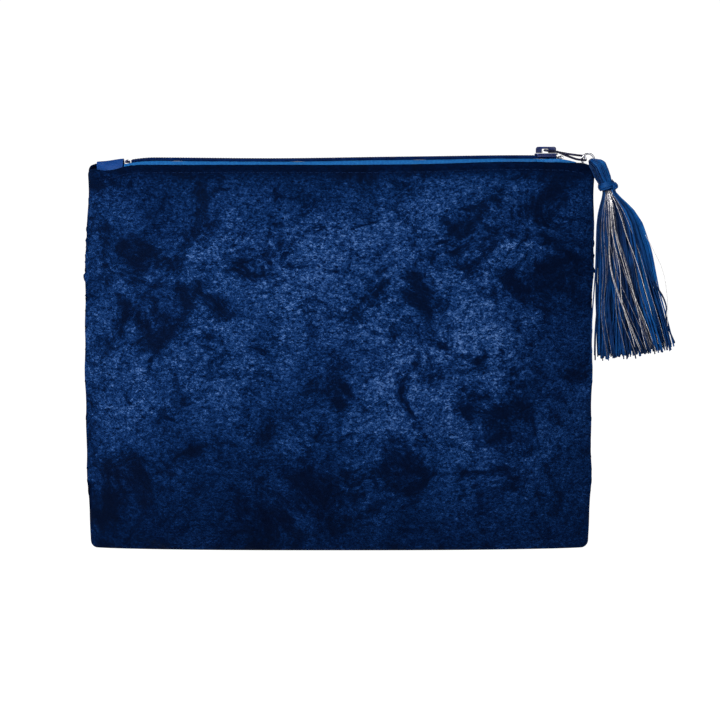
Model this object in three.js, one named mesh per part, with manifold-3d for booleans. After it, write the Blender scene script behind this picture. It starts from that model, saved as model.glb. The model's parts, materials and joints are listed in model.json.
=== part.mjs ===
// A zippered pouch: two crushed-velvet panels with a lining, a nylon coil zip along the top edge,
// and a yarn tassel on the zip pull. Millimetres, +Z up, the front faces -Y, and the origin is on
// the flat underside, in the middle.
import * as THREE from "three";
import { mergeVertices } from "three/addons/utils/BufferGeometryUtils.js";
import Module from "manifold-3d";

const wasm = await Module();
wasm.setup();

// Driving dimensions of the pouch.
const GAP = 0.3; // between pieces that touch
const HALF_WIDTH = 121;
const TOP = 184.3; // height of the folded velvet edge at mid-width
const CORNER = 6; // radius of the four corners in the front view
const VELVET = 1.2; // thickness of the cloth
const TAPE = 0.45;
const LINING = 0.5;
const SEAM_Y = -2; // the bottom seam runs a little in front of the middle
const BASE_DEPTH = 8.5; // half-depth of the flat base
const LOW_DEPTH = 12; // half-depth where the base turns up into the wall
const BELLY_DEPTH = 15.4; // greatest half-depth
const BELLY_HEIGHT = 62;
const TOP_DEPTH = 5.1; // half-depth at the folded edge
const TURN_HEIGHT = 9; // height over which the base turns up
const LINING_TOP = 176; // the lining is sewn to the tape below the end tab
const BASE_RUN = 0.08; // share of a panel that lies under the bag
const TURN_RUN = 0.22; // and where it has turned up into the wall
const SEAM_THREAD = 0.25; // radius
const STITCH = 0.4; // thickness of the topstitching
const STITCH_DROP = 3.4; // below the folded edge

// Driving dimensions of the zip.
const TAPE_Z = 186.1; // top of the tapes at mid-width
const ZIP_RISE = 0.0035; // the zip rises slightly towards the slider
const COIL_WIDTH = 1.7;
const COIL_HEIGHT = 1.5;
const TAPE_LEFT = -101.5;
const TAPE_RIGHT = 113.6;
const COIL_LEFT = -98.6;
const COIL_RIGHT = 104.7;
const TAB_LEFT = -114.6; // the folded cloth over the closed end
const TAB_RIGHT = -101.9;
const TAB = 0.8;
const TAB_RIDGE = [185.4, 186.9]; // height of its fold at its left and right edges
const STOP_LENGTH = 2.3;
const STOP_HEIGHT = 1.7;
const STOP_WIDTH = 1.4; // of each top stop, on the outer half of its coil
const PARTING_X = 96; // the coils part between here
const REJOIN_X = 114; // and here
const PARTING = 1.9; // the furthest that each moves out
const TAPE_INNER = 178; // height of the hidden edge of the tapes

// Driving dimensions of the slider, the pull and the ring.
const SLIDER_LEFT = 94;
const SLIDER_LENGTH = 10.6;
const SLIDER_RIGHT = SLIDER_LEFT + SLIDER_LENGTH;
const SLIDER_TOP = 188.5; // underside of the top plate
const SLIDER_BOTTOM = 184.7; // top of the bottom plate
const PLATE = 0.65;
const LIP = 0.55; // thickness of the top plate's side lips
const LIP_DROP = 1;
const SPRING = 0.3;
const PLATE_REAR = 2.9; // half-widths of the slider's top plate
const PLATE_FRONT = 4.6;
const PLATE_CORNER = 1.6;
const CROWN_TOP = 192.4;
const CROWN_HALF = 1.2;
const CROWN_ROOF = 1; // thickness of the crown over the pull's bar
const PIVOT = new THREE.Vector3(98.9, 0, 190.7);
const WINDOW_LEFT = 1.6; // from the pivot to each leg of the crown
const WINDOW_RIGHT = 1.5;
const PULL_WIRE = 0.55; // radius
const PULL_REAR = 2.15; // half-widths of the loop
const PULL_FAR = 3.3;
const PULL_LENGTH = 19.3;
const PULL_TILT = THREE.MathUtils.degToRad(7.2); // the pull slopes down to the right
const PULL_BEND = 1.3; // and drops further beyond the slider
const PULL_ROLL = [2, 20].map(THREE.MathUtils.degToRad); // at the crown and beyond the slider
const RING_RADIUS = 2.85; // to the middle of the wire
const RING_WIRE = 0.5;
const RING_CENTRE = new THREE.Vector3(119.2, -2, 186.2);

// Driving dimensions of the tassel.
const HANG_ANGLE = THREE.MathUtils.degToRad(-40); // where on the ring the yarn is folded over
const BINDING_CENTRE = new THREE.Vector3(127.9, -2.6, 174);
const BINDING_HEIGHT = 4.2;
const BINDING_RADIUS = 3.9;
const NECK_RADIUS = 2.8;
const KNOT_RADIUS = 1.4;
const KNOT_SPOT = [4.3, 1.2, -3.6]; // from the binding's middle: outwards, down it and forwards

const COLOURS = {
  velvet: [0x0f2c5a, 0.85, 0],
  satin: [0x16366f, 0.5, 0],
  lining: [0x1a2f5c, 0.8, 0],
  tape: [0x1f5f9f, 0.8, 0],
  coil: [0x0c1d45, 0.4, 0],
  thread: [0x0a1d45, 0.6, 0],
  paint: [0x13306b, 0.3, 0.4],
  nickel: [0xb9bcc2, 0.2, 1],
  wire: [0x5a6070, 0.2, 1],
  yarn: [0x104a8c, 0.5, 0],
  silver: [0xd8d4cf, 0.3, 0.8],
};

const pouch = new THREE.Group();
pouch.name = "zippered_pouch";

function add(name, geometry, finish) {
  const [color, roughness, metalness] = COLOURS[finish];
  const material = new THREE.MeshStandardMaterial({ color, roughness, metalness });
  const mesh = new THREE.Mesh(geometry, material);
  mesh.name = name;
  pouch.add(mesh);
  return mesh;
}

const mix = THREE.MathUtils.lerp;
const clamp = THREE.MathUtils.clamp;
const smooth = (x, a, b) => THREE.MathUtils.smoothstep(x, a, b);

// A box grid bent into shape: place(u, v, w) gives the point for u, v and w from 0 to 1.
function bent(nu, nv, nw, place) {
  const box = new THREE.BoxGeometry(1, 1, 1, nu, nv, nw);
  const position = box.getAttribute("position");
  for (let i = 0; i < position.count; i += 1) {
    const point = place(position.getX(i) + 0.5, position.getY(i) + 0.5, position.getZ(i) + 0.5);
    position.setXYZ(i, point.x, point.y, point.z);
  }
  box.computeVertexNormals();
  return box;
}

// The same for a piece that the front and the back of the bag both have: the back one is mirrored.
function half(front, nu, nv, nw, place) {
  const mirrored = (u, v, w) => place(u, 1 - v, w).multiply(new THREE.Vector3(1, -1, 1));
  return bent(nu, nv, nw, front ? place : mirrored);
}

// A rod of round or oval section along a curve. sides(t) gives its half-width and half-depth, and
// wide is the direction of its width.
function bundle(curve, steps, wide, sides) {
  const rod = new THREE.CylinderGeometry(1, 1, 1, 12, steps, false);
  const position = rod.getAttribute("position");
  for (let i = 0; i < position.count; i += 1) {
    const t = 0.5 - position.getY(i);
    const [halfWide, halfDeep] = sides(t);
    const deep = wide.clone().cross(curve.getTangentAt(t).negate()).normalize();
    const point = curve.getPointAt(t);
    point.addScaledVector(wide, position.getX(i) * halfWide);
    point.addScaledVector(deep, position.getZ(i) * halfDeep);
    position.setXYZ(i, point.x, point.y, point.z);
  }
  rod.computeVertexNormals();
  return rod;
}

// A closed ring of round wire along a closed curve that runs anticlockwise about up.
function closedWire(curve, radius, steps, up) {
  const ring = new THREE.TorusGeometry(1, 0.25, 8, steps);
  const position = ring.getAttribute("position");
  for (let i = 0; i < position.count; i += 1) {
    const x = position.getX(i);
    const y = position.getY(i);
    const turn = Math.atan2(y, x) / (2 * Math.PI);
    const t = (turn + 1 + 1e-9) % 1;
    const outward = curve.getTangentAt(t).cross(up).normalize();
    const point = curve.getPointAt(t);
    point.addScaledVector(outward, ((Math.hypot(x, y) - 1) / 0.25) * radius);
    point.addScaledVector(up, (position.getZ(i) / 0.25) * radius);
    position.setXYZ(i, point.x, point.y, point.z);
  }
  ring.computeVertexNormals();
  return ring;
}

function toSolid(geometry) {
  const bare = geometry.clone();
  bare.deleteAttribute("normal");
  bare.deleteAttribute("uv");
  const merged = mergeVertices(bare, 1e-4);
  const triVerts = new Uint32Array(merged.index.array);
  const vertProperties = new Float32Array(merged.attributes.position.array);
  return new wasm.Manifold(new wasm.Mesh({ numProp: 3, vertProperties, triVerts }));
}

function toGeometry(solid) {
  const { vertProperties, triVerts } = solid.getMesh();
  const geometry = new THREE.BufferGeometry();
  geometry.setAttribute("position", new THREE.BufferAttribute(vertProperties, 3));
  geometry.setIndex(new THREE.BufferAttribute(triVerts, 1));
  return geometry;
}

// ---- the shape of the bag ----------------------------------------------------------------

// Half-width of the bag at a height, with its rounded corners.
function halfWidth(z) {
  const toEnd = clamp(Math.min(z, TOP - z), 0, CORNER);
  return HALF_WIDTH - CORNER + Math.sqrt(CORNER ** 2 - (CORNER - toEnd) ** 2);
}

// Height of the folded edge, which turns down at the corners.
function edgeHeight(x) {
  const past = clamp(Math.abs(x) - (HALF_WIDTH - CORNER), 0, CORNER);
  return TOP - CORNER + Math.sqrt(CORNER ** 2 - past ** 2);
}

// Half-depth of the bag at mid-width.
function wallDepth(z) {
  if (z > BELLY_HEIGHT) {
    const up = (z - BELLY_HEIGHT) / (TOP - BELLY_HEIGHT);
    return mix(BELLY_DEPTH, TOP_DEPTH, up ** 2);
  }
  const down = (BELLY_HEIGHT - z) / (BELLY_HEIGHT - TURN_HEIGHT);
  return mix(BELLY_DEPTH, LOW_DEPTH, down ** 2);
}

// How full the bag is across its width: 1 in the middle, 0 at a side seam (side is -1 to 1).
function fullness(side, z) {
  const away = Math.min(Math.abs(side), 1);
  const belly = (1 - away ** 2.6) ** 0.75;
  const edge = (1 - away ** 10) ** 0.6;
  return mix(belly, edge, smooth(z, 120, TOP));
}

// A point on the outer face of the front, from the bottom seam (run 0) over the base and up the
// wall to the folded edge (run 1).
function outerPoint(side, run) {
  let depth;
  let z;
  if (run < BASE_RUN) {
    depth = mix(0, BASE_DEPTH, run / BASE_RUN);
    z = 0;
  } else if (run < TURN_RUN) {
    const turn = (((run - BASE_RUN) / (TURN_RUN - BASE_RUN)) * Math.PI) / 2;
    depth = mix(BASE_DEPTH, LOW_DEPTH, Math.sin(turn));
    z = TURN_HEIGHT * (1 - Math.cos(turn));
  } else {
    z = mix(TURN_HEIGHT, TOP, (run - TURN_RUN) / (1 - TURN_RUN));
    depth = wallDepth(z);
  }
  const seam = VELVET + GAP / 2;
  return new THREE.Vector3(side * halfWidth(z), -seam - depth * fullness(side, z), z);
}

// A point at a distance inside the outer face.
function insidePoint(side, run, inside) {
  const step = 1e-3;
  const right = outerPoint(Math.min(side + step, 1), run);
  const left = outerPoint(Math.max(side - step, -1), run);
  const above = outerPoint(side, Math.min(run + step, 1));
  const below = outerPoint(side, Math.max(run - step, 0));
  const inward = above.sub(below).cross(right.sub(left)).normalize();
  return outerPoint(side, run).addScaledVector(inward, inside);
}

// Run along the front at which the wall reaches a height.
const runAt = (z) => mix(TURN_RUN, 1, (z - TURN_HEIGHT) / (TOP - TURN_HEIGHT));

// One cloth of the bag between two distances inside the outer face. The two halves meet at the
// bottom seam. reach is how far towards the side seams the cloth goes, from 0 to 1.
function panel(front, outside, inside, reach, topRun, nu, nv) {
  const seamShift = front ? -SEAM_Y : SEAM_Y;
  return half(front, nu, nv, 1, (u, v, w) => {
    const side = (reach * Math.sin((u - 0.5) * 0.98 * Math.PI)) / Math.sin(0.49 * Math.PI);
    const run = topRun * (0.5 - 0.5 * Math.cos(v * Math.PI)); // finer at the base and the edge
    const deep = mix(inside, outside, w);
    const point = insidePoint(side, run, deep);
    point.y = Math.min(point.y, -GAP / 2 - (inside - deep));
    if (run <= BASE_RUN) {
      const full = fullness(side, 0);
      const start = seamShift * full + GAP / 2;
      const end = BASE_DEPTH * full + VELVET + GAP / 2;
      point.y = -mix(start, end, run / BASE_RUN);
      point.z = deep;
    }
    return point;
  });
}

// A thread or cord of square section laid along a list of points, inside the bag or on its face.
function thread(points, radius) {
  const curve = new THREE.CatmullRomCurve3(points);
  const section = new THREE.Shape().absarc(0, 0, radius, 0, 2 * Math.PI);
  const steps = 3 * (points.length - 1);
  return new THREE.ExtrudeGeometry(section, { steps, extrudePath: curve, curveSegments: 3 });
}

// The thread of a side seam, in the narrow space between the two panels.
function sideThread(side) {
  const heights = [12, 50, 90, 130, 168];
  return thread(heights.map((z) => new THREE.Vector3(side * (halfWidth(z) - 2.2), 0, z)), SEAM_THREAD);
}

// The thread of the bottom seam, just above the seam inside the velvet.
function bottomThread() {
  const points = [];
  for (let i = 0; i <= 8; i += 1) {
    const x = mix(-100, 100, i / 8);
    const y = SEAM_Y * fullness(x / HALF_WIDTH, 0);
    points.push(new THREE.Vector3(x, y, VELVET + GAP + SEAM_THREAD));
  }
  return thread(points, SEAM_THREAD);
}

// The line of topstitching, a narrow strip on the outer face below the folded edge.
function topstitch(front) {
  return half(front, 24, 1, 1, (u, v, w) => {
    const z = TOP - STITCH_DROP + STITCH * (v - 0.5);
    const side = mix(-0.955, 0.955, u);
    return insidePoint(side, runAt(z), -GAP - STITCH * w);
  });
}

// ---- the zip -----------------------------------------------------------------------------

// Top of the tapes along the zip: it dips under the end tab and beyond the slider.
function tapeHeight(x) {
  const leftDip = 2.2 * (Math.max(-86 - x, 0) / 18) ** 2;
  const rightDip = 3.6 * (Math.max(x - 103, 0) / 16.5) ** 2;
  return TAPE_Z + ZIP_RISE * x - leftDip - rightDip;
}

// Distance of a coil's inner side from the middle of the zip.
function coilInner(x) {
  const share = clamp((x - PARTING_X) / (REJOIN_X - PARTING_X), 0, 1);
  return GAP / 2 + PARTING * Math.sin(share * Math.PI) ** 2;
}

// A point of a strip tucked in behind a panel: in from the velvet's inner face, and further in
// near the side seams, where the panels close up.
function tuckedPoint(x, z, under, thickness) {
  const ease = 0.5 * smooth(Math.abs(x), 90, 112) + 1.5 * smooth(Math.abs(x), 109, 115);
  const point = insidePoint(x / halfWidth(z), runAt(z), VELVET + GAP + ease + under);
  point.x = x;
  point.y = Math.min(point.y, -GAP / 2 - (thickness - under));
  return point;
}

function coil(front) {
  return half(front, 40, 1, 1, (u, v, w) => {
    const x = mix(COIL_LEFT, COIL_RIGHT, u);
    const y = -coilInner(x) - COIL_WIDTH * (1 - v);
    return new THREE.Vector3(x, y, tapeHeight(x) + GAP + COIL_HEIGHT * w);
  });
}

// A tape: flat under its coil, then down over the velvet's folded edge into the bag. across is 0
// at the hidden edge and 1 at the coil.
function tape(front) {
  return half(front, 36, 5, 1, (u, v, w) => {
    const x = mix(TAPE_LEFT, TAPE_RIGHT, u);
    const under = TAPE * (1 - w);
    const edgeZ = edgeHeight(x) - 0.3;
    if (v < 0.7) {
      const z = mix(TAPE_INNER, edgeZ, v / 0.6);
      return tuckedPoint(x, z, under, TAPE);
    }
    const bendY = coilInner(x) + COIL_WIDTH + 0.3;
    const y = v < 0.9 ? -bendY : -coilInner(x);
    return new THREE.Vector3(x, y, tapeHeight(x) - under);
  });
}

// A small metal clip on the tape, at the end of a coil.
function clip(left, right, front, back) {
  const middle = (left + right) / 2;
  return bent(2, 2, 2, (u, v, w) => {
    const round = (t) => 1 - 0.3 * Math.abs(2 * t - 1) ** 2;
    const x = middle + (u - 0.5) * (right - left);
    const y = mix(-front, -back, v);
    return new THREE.Vector3(x, y, tapeHeight(middle) + GAP + STOP_HEIGHT * w * round(v) * round(u));
  });
}

// The folded strip of cloth over the closed end of the zip, tucked in behind both panels.
function endTab() {
  return bent(6, 8, 1, (u, v, w) => {
    const x = mix(TAB_LEFT, TAB_RIGHT, u);
    const under = TAB * (1 - w);
    const sideSign = v < 0.5 ? 1 : -1;
    const climb = 1 - Math.abs(2 * v - 1);
    const ridge = mix(...TAB_RIDGE, u);
    if (climb > 0.99) return new THREE.Vector3(x, 0, ridge - under);
    if (climb > 0.7) return new THREE.Vector3(x, -sideSign * (1.1 - 0.6 * under), ridge - 0.2 - under);
    const z = mix(TAPE_INNER + 1, edgeHeight(x) - 0.3, climb / 0.5);
    return tuckedPoint(x, z, under, TAB).multiply(new THREE.Vector3(1, sideSign, 1));
  });
}

// ---- the slider and its pull --------------------------------------------------------------

// A flat plate of the slider, rounded at the closed end of the zip and wider at the open end.
function plate(rear, front, bottom, thickness) {
  const small = 0.75 * PLATE_CORNER;
  const outline = new THREE.Shape();
  outline.moveTo(SLIDER_LEFT + small, -rear);
  outline.lineTo(SLIDER_RIGHT - PLATE_CORNER, -front);
  outline.quadraticCurveTo(SLIDER_RIGHT, -front, SLIDER_RIGHT, -front + PLATE_CORNER);
  outline.lineTo(SLIDER_RIGHT, front - PLATE_CORNER);
  outline.quadraticCurveTo(SLIDER_RIGHT, front, SLIDER_RIGHT - PLATE_CORNER, front);
  outline.lineTo(SLIDER_LEFT + small, rear);
  outline.quadraticCurveTo(SLIDER_LEFT, rear, SLIDER_LEFT, rear - small);
  outline.lineTo(SLIDER_LEFT, -rear + small);
  outline.quadraticCurveTo(SLIDER_LEFT, -rear, SLIDER_LEFT + small, -rear);
  const flat = { depth: thickness, bevelEnabled: false, curveSegments: 3 };
  return new THREE.ExtrudeGeometry(outline, flat).translate(0, 0, bottom);
}

// A side lip of the top plate, which guides the coils.
function lip(front) {
  return half(front, 1, 1, 1, (u, v, w) => {
    const x = mix(SLIDER_LEFT + 1, SLIDER_RIGHT - 0.8, u);
    const outer = mix(PLATE_REAR, PLATE_FRONT, (x - SLIDER_LEFT) / SLIDER_LENGTH) - 0.15;
    return new THREE.Vector3(x, -outer + LIP * v, mix(SLIDER_TOP - LIP_DROP, SLIDER_TOP + 0.3, w));
  });
}

// The post between the plates, a wedge that parts the coils.
function wedge() {
  const [tip, shoulder, heel] = [3.6, 1.6, 0.4].map((back) => SLIDER_RIGHT - back);
  const sunk = 0.2; // into each plate
  const outline = new THREE.Shape();
  outline.moveTo(tip, 0);
  outline.lineTo(shoulder, -1);
  outline.lineTo(heel, -0.9);
  outline.lineTo(heel, 0.9);
  outline.lineTo(shoulder, 1);
  outline.closePath();
  const post = { depth: SLIDER_TOP - SLIDER_BOTTOM + 2 * sunk, bevelEnabled: false };
  return new THREE.ExtrudeGeometry(outline, post).translate(0, 0, SLIDER_BOTTOM - sunk);
}

function sliderBody() {
  const lower = plate(2.4, 2.9, SLIDER_BOTTOM - PLATE, PLATE);
  const pieces = [lower, plate(PLATE_REAR, PLATE_FRONT, SLIDER_TOP, PLATE), lip(true), lip(false), wedge()];
  return toGeometry(pieces.map(toSolid).reduce((whole, piece) => whole.add(piece)));
}

// The crown: a block over the slider, with a window through its sides for the pull's bar.
function crown() {
  const left = SLIDER_LEFT + 0.5;
  const right = SLIDER_RIGHT - 0.5;
  const foot = SLIDER_TOP + PLATE + GAP;
  const roof = CROWN_TOP - CROWN_ROOF;
  const corner = 1.2;
  const outline = new THREE.Shape();
  outline.moveTo(left, foot);
  outline.lineTo(left, CROWN_TOP - corner);
  outline.quadraticCurveTo(left, CROWN_TOP, left + corner, CROWN_TOP);
  outline.lineTo(right - corner, CROWN_TOP);
  outline.quadraticCurveTo(right, CROWN_TOP, right, CROWN_TOP - corner);
  outline.lineTo(right, foot);
  outline.lineTo(PIVOT.x + WINDOW_RIGHT, foot);
  outline.lineTo(PIVOT.x + WINDOW_RIGHT, roof);
  outline.lineTo(PIVOT.x - WINDOW_LEFT, roof);
  outline.lineTo(PIVOT.x - WINDOW_LEFT, foot);
  outline.closePath();
  const block = { depth: 2 * CROWN_HALF, bevelEnabled: false, curveSegments: 4 };
  return new THREE.ExtrudeGeometry(outline, block).rotateX(Math.PI / 2).translate(0, CROWN_HALF, 0);
}

// The lock spring: a bent strip in the crown's window, beside the pull's bar.
function lockSpring() {
  return bent(6, 1, 1, (u, v, w) => {
    const x = PIVOT.x - WINDOW_LEFT + 0.2 + 0.6 * u;
    const rise = 0.9 * Math.sin((u * Math.PI) / 2) ** 2;
    const z = SLIDER_TOP + PLATE + GAP + rise + SPRING * w;
    return new THREE.Vector3(x, mix(-0.7, 0.7, v), z);
  });
}

// A point of the pull, at a distance from the pivot and to one side. Beyond the slider it drops
// and rolls, with its front side lower.
function pullPoint(s, y) {
  const beyond = smooth(s, 5, 14);
  const roll = mix(...PULL_ROLL, beyond);
  const x = s * Math.cos(PULL_TILT);
  const z = -s * Math.sin(PULL_TILT) - PULL_BEND * beyond + y * Math.sin(roll);
  return new THREE.Vector3(x, y * Math.cos(roll), z).add(PIVOT);
}

// The pull: a wire loop, narrow where it goes through the crown.
function pull() {
  const middle = (PULL_REAR + PULL_FAR) / 2;
  const side = [
    [0, 1],
    [0.2, PULL_REAR],
    [1.6, PULL_REAR + 0.1],
    [PULL_LENGTH * 0.3, PULL_REAR + 0.3],
    [PULL_LENGTH * 0.5, middle],
    [PULL_LENGTH * 0.75, middle + 0.4],
    [PULL_LENGTH - 1.5, PULL_FAR],
    [PULL_LENGTH - 0.2, PULL_FAR - 0.2],
    [PULL_LENGTH, 1.6],
  ];
  const front = side.map(([s, y]) => pullPoint(s, -y));
  const back = side.map(([s, y]) => pullPoint(s, y)).reverse();
  const curve = new THREE.CatmullRomCurve3([...front, ...back], true, "centripetal");
  return closedWire(curve, PULL_WIRE, 64, new THREE.Vector3(0, 0, 1));
}

function jumpRing() {
  const ring = new THREE.TorusGeometry(RING_RADIUS, RING_WIRE, 10, 32);
  return ring.rotateX(Math.PI / 2).translate(RING_CENTRE.x, RING_CENTRE.y, RING_CENTRE.z);
}

// ---- the tassel ----------------------------------------------------------------------------

// Where the yarn is folded over the ring, and the direction in which the head leans.
const FOLD = new THREE.Vector3(Math.cos(HANG_ANGLE), 0, Math.sin(HANG_ANGLE))
  .multiplyScalar(RING_RADIUS)
  .add(RING_CENTRE);
const LEAN = BINDING_CENTRE.clone().sub(FOLD).setY(0).normalize();
const ACROSS = new THREE.Vector3(-LEAN.z, 0, LEAN.x);
const HEAD_LENGTH = BINDING_CENTRE.clone().sub(FOLD).setY(0).length();

// The head: a hank that comes up in front of the ring, over its wire and down behind.
function tasselHead() {
  const at = (s, across, y) => FOLD.clone().addScaledVector(LEAN, s).addScaledVector(ACROSS, across).setY(y);
  const end = HEAD_LENGTH - 0.6;
  const neckY = BINDING_CENTRE.y;
  const line = [
    at(end, 0, neckY - 1.25),
    at(8.4, 0.2, -4.9),
    at(5, 0.5, -4.9),
    at(2.2, 0.6, -4.45),
    at(-0.2, 0.2, -3.75),
    at(-1.85, 0, FOLD.y),
    at(-0.2, 0.2, -0.25),
    at(2.2, 1.3, 0.3),
    at(5, 1, 0.3),
    at(8.4, 0.2, -0.4),
    at(end, 0, neckY + 1.25),
  ];
  const curve = new THREE.CatmullRomCurve3(line, false, "centripetal");
  return bundle(curve, 28, ACROSS, (t) => {
    const away = Math.abs(2 * t - 1);
    const full = mix(1.1, 4, smooth(away, 0.08, 0.42));
    const wide = away < 0.55 ? full : mix(4, 1.75, smooth(away, 0.55, 0.84));
    const deep = away < 0.5 ? mix(0.9, 1.7, smooth(away, 0.1, 0.5)) : mix(1.7, 1, smooth(away, 0.5, 0.84));
    return [t > 0.5 ? wide * 0.75 : wide, deep];
  });
}

// The direction of the tassel at its neck, between the lean of the head and that of the skirt.
const NECK = LEAN.clone().add(new THREE.Vector3(0.12, 0, -1)).normalize();

// The binding: yarn wound round the neck.
function binding() {
  const inner = NECK_RADIUS + GAP;
  const halfHeight = BINDING_HEIGHT / 2;
  const profile = [
    [inner, -halfHeight],
    [BINDING_RADIUS - 0.5, -halfHeight],
    [BINDING_RADIUS, -halfHeight + 0.8],
    [BINDING_RADIUS, halfHeight - 0.8],
    [BINDING_RADIUS - 0.5, halfHeight],
    [inner, halfHeight],
    [inner, -halfHeight],
  ];
  const section = profile.map(([r, h]) => new THREE.Vector2(r, h));
  const upright = new THREE.Quaternion().setFromUnitVectors(new THREE.Vector3(0, -1, 0), NECK);
  const ring = new THREE.LatheGeometry(section, 20).applyQuaternion(upright);
  return ring.translate(BINDING_CENTRE.x, BINDING_CENTRE.y, BINDING_CENTRE.z);
}

function knot() {
  const [out, down, forward] = KNOT_SPOT;
  const outward = new THREE.Vector3(-NECK.z, 0, NECK.x);
  const centre = BINDING_CENTRE.clone().addScaledVector(outward, out).addScaledVector(NECK, down);
  centre.y += forward;
  const ball = new THREE.SphereGeometry(KNOT_RADIUS, 10, 8).scale(1, 0.9, 1.1);
  return ball.translate(centre.x, centre.y, centre.z);
}

// The skirt hangs beside the bag, flaring to the right. Each row is a height, the x of its middle,
// its half-width and its half-depth.
const SKIRT = [
  [171.6, 129, 2.5, 2.5],
  [169.4, 129.4, 2.5, 2.5],
  [166.5, 130.8, 5.6, 3.8],
  [162, 132.2, 8.4, 4.7],
  [156, 133.6, 10.6, 5.2],
  [143, 135.4, 13, 5.8],
  [125, 137.5, 15.1, 6.4],
  [108, 140.1, 17.7, 6.9],
  [94.6, 141.9, 19.2, 7.2],
];

function skirtSize(z) {
  const found = SKIRT.findIndex((row) => row[0] <= z);
  const after = found < 0 ? SKIRT.length - 1 : Math.max(found, 1);
  const [above, below] = [SKIRT[after - 1], SKIRT[after]];
  const share = (above[0] - z) / (above[0] - below[0]);
  return above.map((value, i) => mix(value, below[i], share));
}

function skirt() {
  const points = SKIRT.map(([z, x]) => new THREE.Vector3(x, BINDING_CENTRE.y, z));
  const curve = new THREE.CatmullRomCurve3(points);
  const wide = new THREE.Vector3(1, 0, 0);
  return bundle(curve, 18, wide, (t) => skirtSize(curve.getPointAt(t).z).slice(2));
}

// The silver threads lie on the front of the skirt, from the neck down towards the right.
function metallicThreads() {
  return bent(2, 14, 1, (u, v, w) => {
    const z = mix(96.5, 167, v);
    const [, x, halfWide, halfDeep] = skirtSize(z);
    const spot = mix(0.3, -0.1, v) + (u - 0.5) * mix(0.36, 0.3, v);
    const y = BINDING_CENTRE.y - halfDeep * Math.sqrt(1 - spot ** 2) - 2 * GAP - 0.4 * w;
    return new THREE.Vector3(x + spot * halfWide, y, z);
  });
}

// ---- the assembly --------------------------------------------------------------------------

const liningOut = VELVET + GAP + TAPE + GAP;
const liningIn = liningOut + LINING;
for (const [name, front] of [["front", true], ["back", false]]) {
  add(`${name}_panel`, panel(front, 0, VELVET, 1, 1, 24, 18), "velvet");
  add(`${name}_lining`, panel(front, liningOut, liningIn, 0.975, runAt(LINING_TOP), 18, 14), "lining");
  add(`${name}_zip_tape`, tape(front), "tape");
  add(`${name}_coil`, coil(front), "coil");
  add(`${name}_topstitch`, topstitch(front), "thread");
}
const stopLeft = COIL_RIGHT + GAP;
const stopRight = stopLeft + STOP_LENGTH;
const stopOuter = coilInner((stopLeft + stopRight) / 2) + COIL_WIDTH + GAP;
const stopInner = stopOuter - STOP_WIDTH;
add("front_top_stop", clip(stopLeft, stopRight, stopOuter, stopInner), "nickel");
add("back_top_stop", clip(stopLeft, stopRight, -stopInner, -stopOuter), "nickel");
add("bottom_stop", clip(COIL_LEFT - GAP - STOP_LENGTH, COIL_LEFT - GAP, 1.9, -1.9), "nickel");
add("left_end_tab", endTab(), "satin");
add("left_side_seam_thread", sideThread(-1), "thread");
add("right_side_seam_thread", sideThread(1), "thread");
add("bottom_seam_thread", bottomThread(), "thread");
add("slider_body", sliderBody(), "paint");
add("slider_crown", crown(), "paint");
add("slider_lock_spring", lockSpring(), "nickel");
add("pull_loop", pull(), "wire");
add("jump_ring", jumpRing(), "nickel");
add("tassel_head", tasselHead(), "yarn");
add("tassel_binding", binding(), "yarn");
add("tassel_knot", knot(), "yarn");
add("tassel_skirt", skirt(), "yarn");
add("tassel_metallic_threads", metallicThreads(), "silver");

export default pouch;
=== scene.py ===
"""Looks of a velvet zip pouch with a tassel: cloth, zip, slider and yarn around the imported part.

Shapes are worked out in millimetres in the part's own frame, and made into objects in metres.
"""
import json
import math
import random
import bmesh
import bpy
import numpy as np
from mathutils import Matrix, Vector


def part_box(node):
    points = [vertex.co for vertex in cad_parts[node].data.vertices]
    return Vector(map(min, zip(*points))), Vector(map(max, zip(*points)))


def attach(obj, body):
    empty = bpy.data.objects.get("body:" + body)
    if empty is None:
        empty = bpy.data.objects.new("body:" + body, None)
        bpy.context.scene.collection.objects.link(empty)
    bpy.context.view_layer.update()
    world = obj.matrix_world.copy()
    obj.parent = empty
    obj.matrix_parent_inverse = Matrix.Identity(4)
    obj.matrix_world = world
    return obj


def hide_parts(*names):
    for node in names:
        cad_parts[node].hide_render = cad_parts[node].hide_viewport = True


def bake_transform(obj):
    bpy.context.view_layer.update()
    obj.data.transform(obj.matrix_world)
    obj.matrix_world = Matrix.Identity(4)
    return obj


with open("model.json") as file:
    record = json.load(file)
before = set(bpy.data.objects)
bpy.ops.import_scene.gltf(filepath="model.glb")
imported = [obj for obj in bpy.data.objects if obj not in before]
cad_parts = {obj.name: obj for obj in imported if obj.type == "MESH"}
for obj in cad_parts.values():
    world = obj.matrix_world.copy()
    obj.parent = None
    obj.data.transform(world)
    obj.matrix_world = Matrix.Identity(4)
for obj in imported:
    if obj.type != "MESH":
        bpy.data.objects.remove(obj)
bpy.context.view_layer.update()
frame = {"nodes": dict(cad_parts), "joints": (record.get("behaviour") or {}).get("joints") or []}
MM = 0.001
SEED = 7


def box_mm(node):
    """The lowest and highest corner of a CAD node, in millimetres."""
    low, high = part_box(node)
    return np.array(low) / MM, np.array(high) / MM


# ---- driving dimensions, in millimetres ------------------------------------------------------

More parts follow.
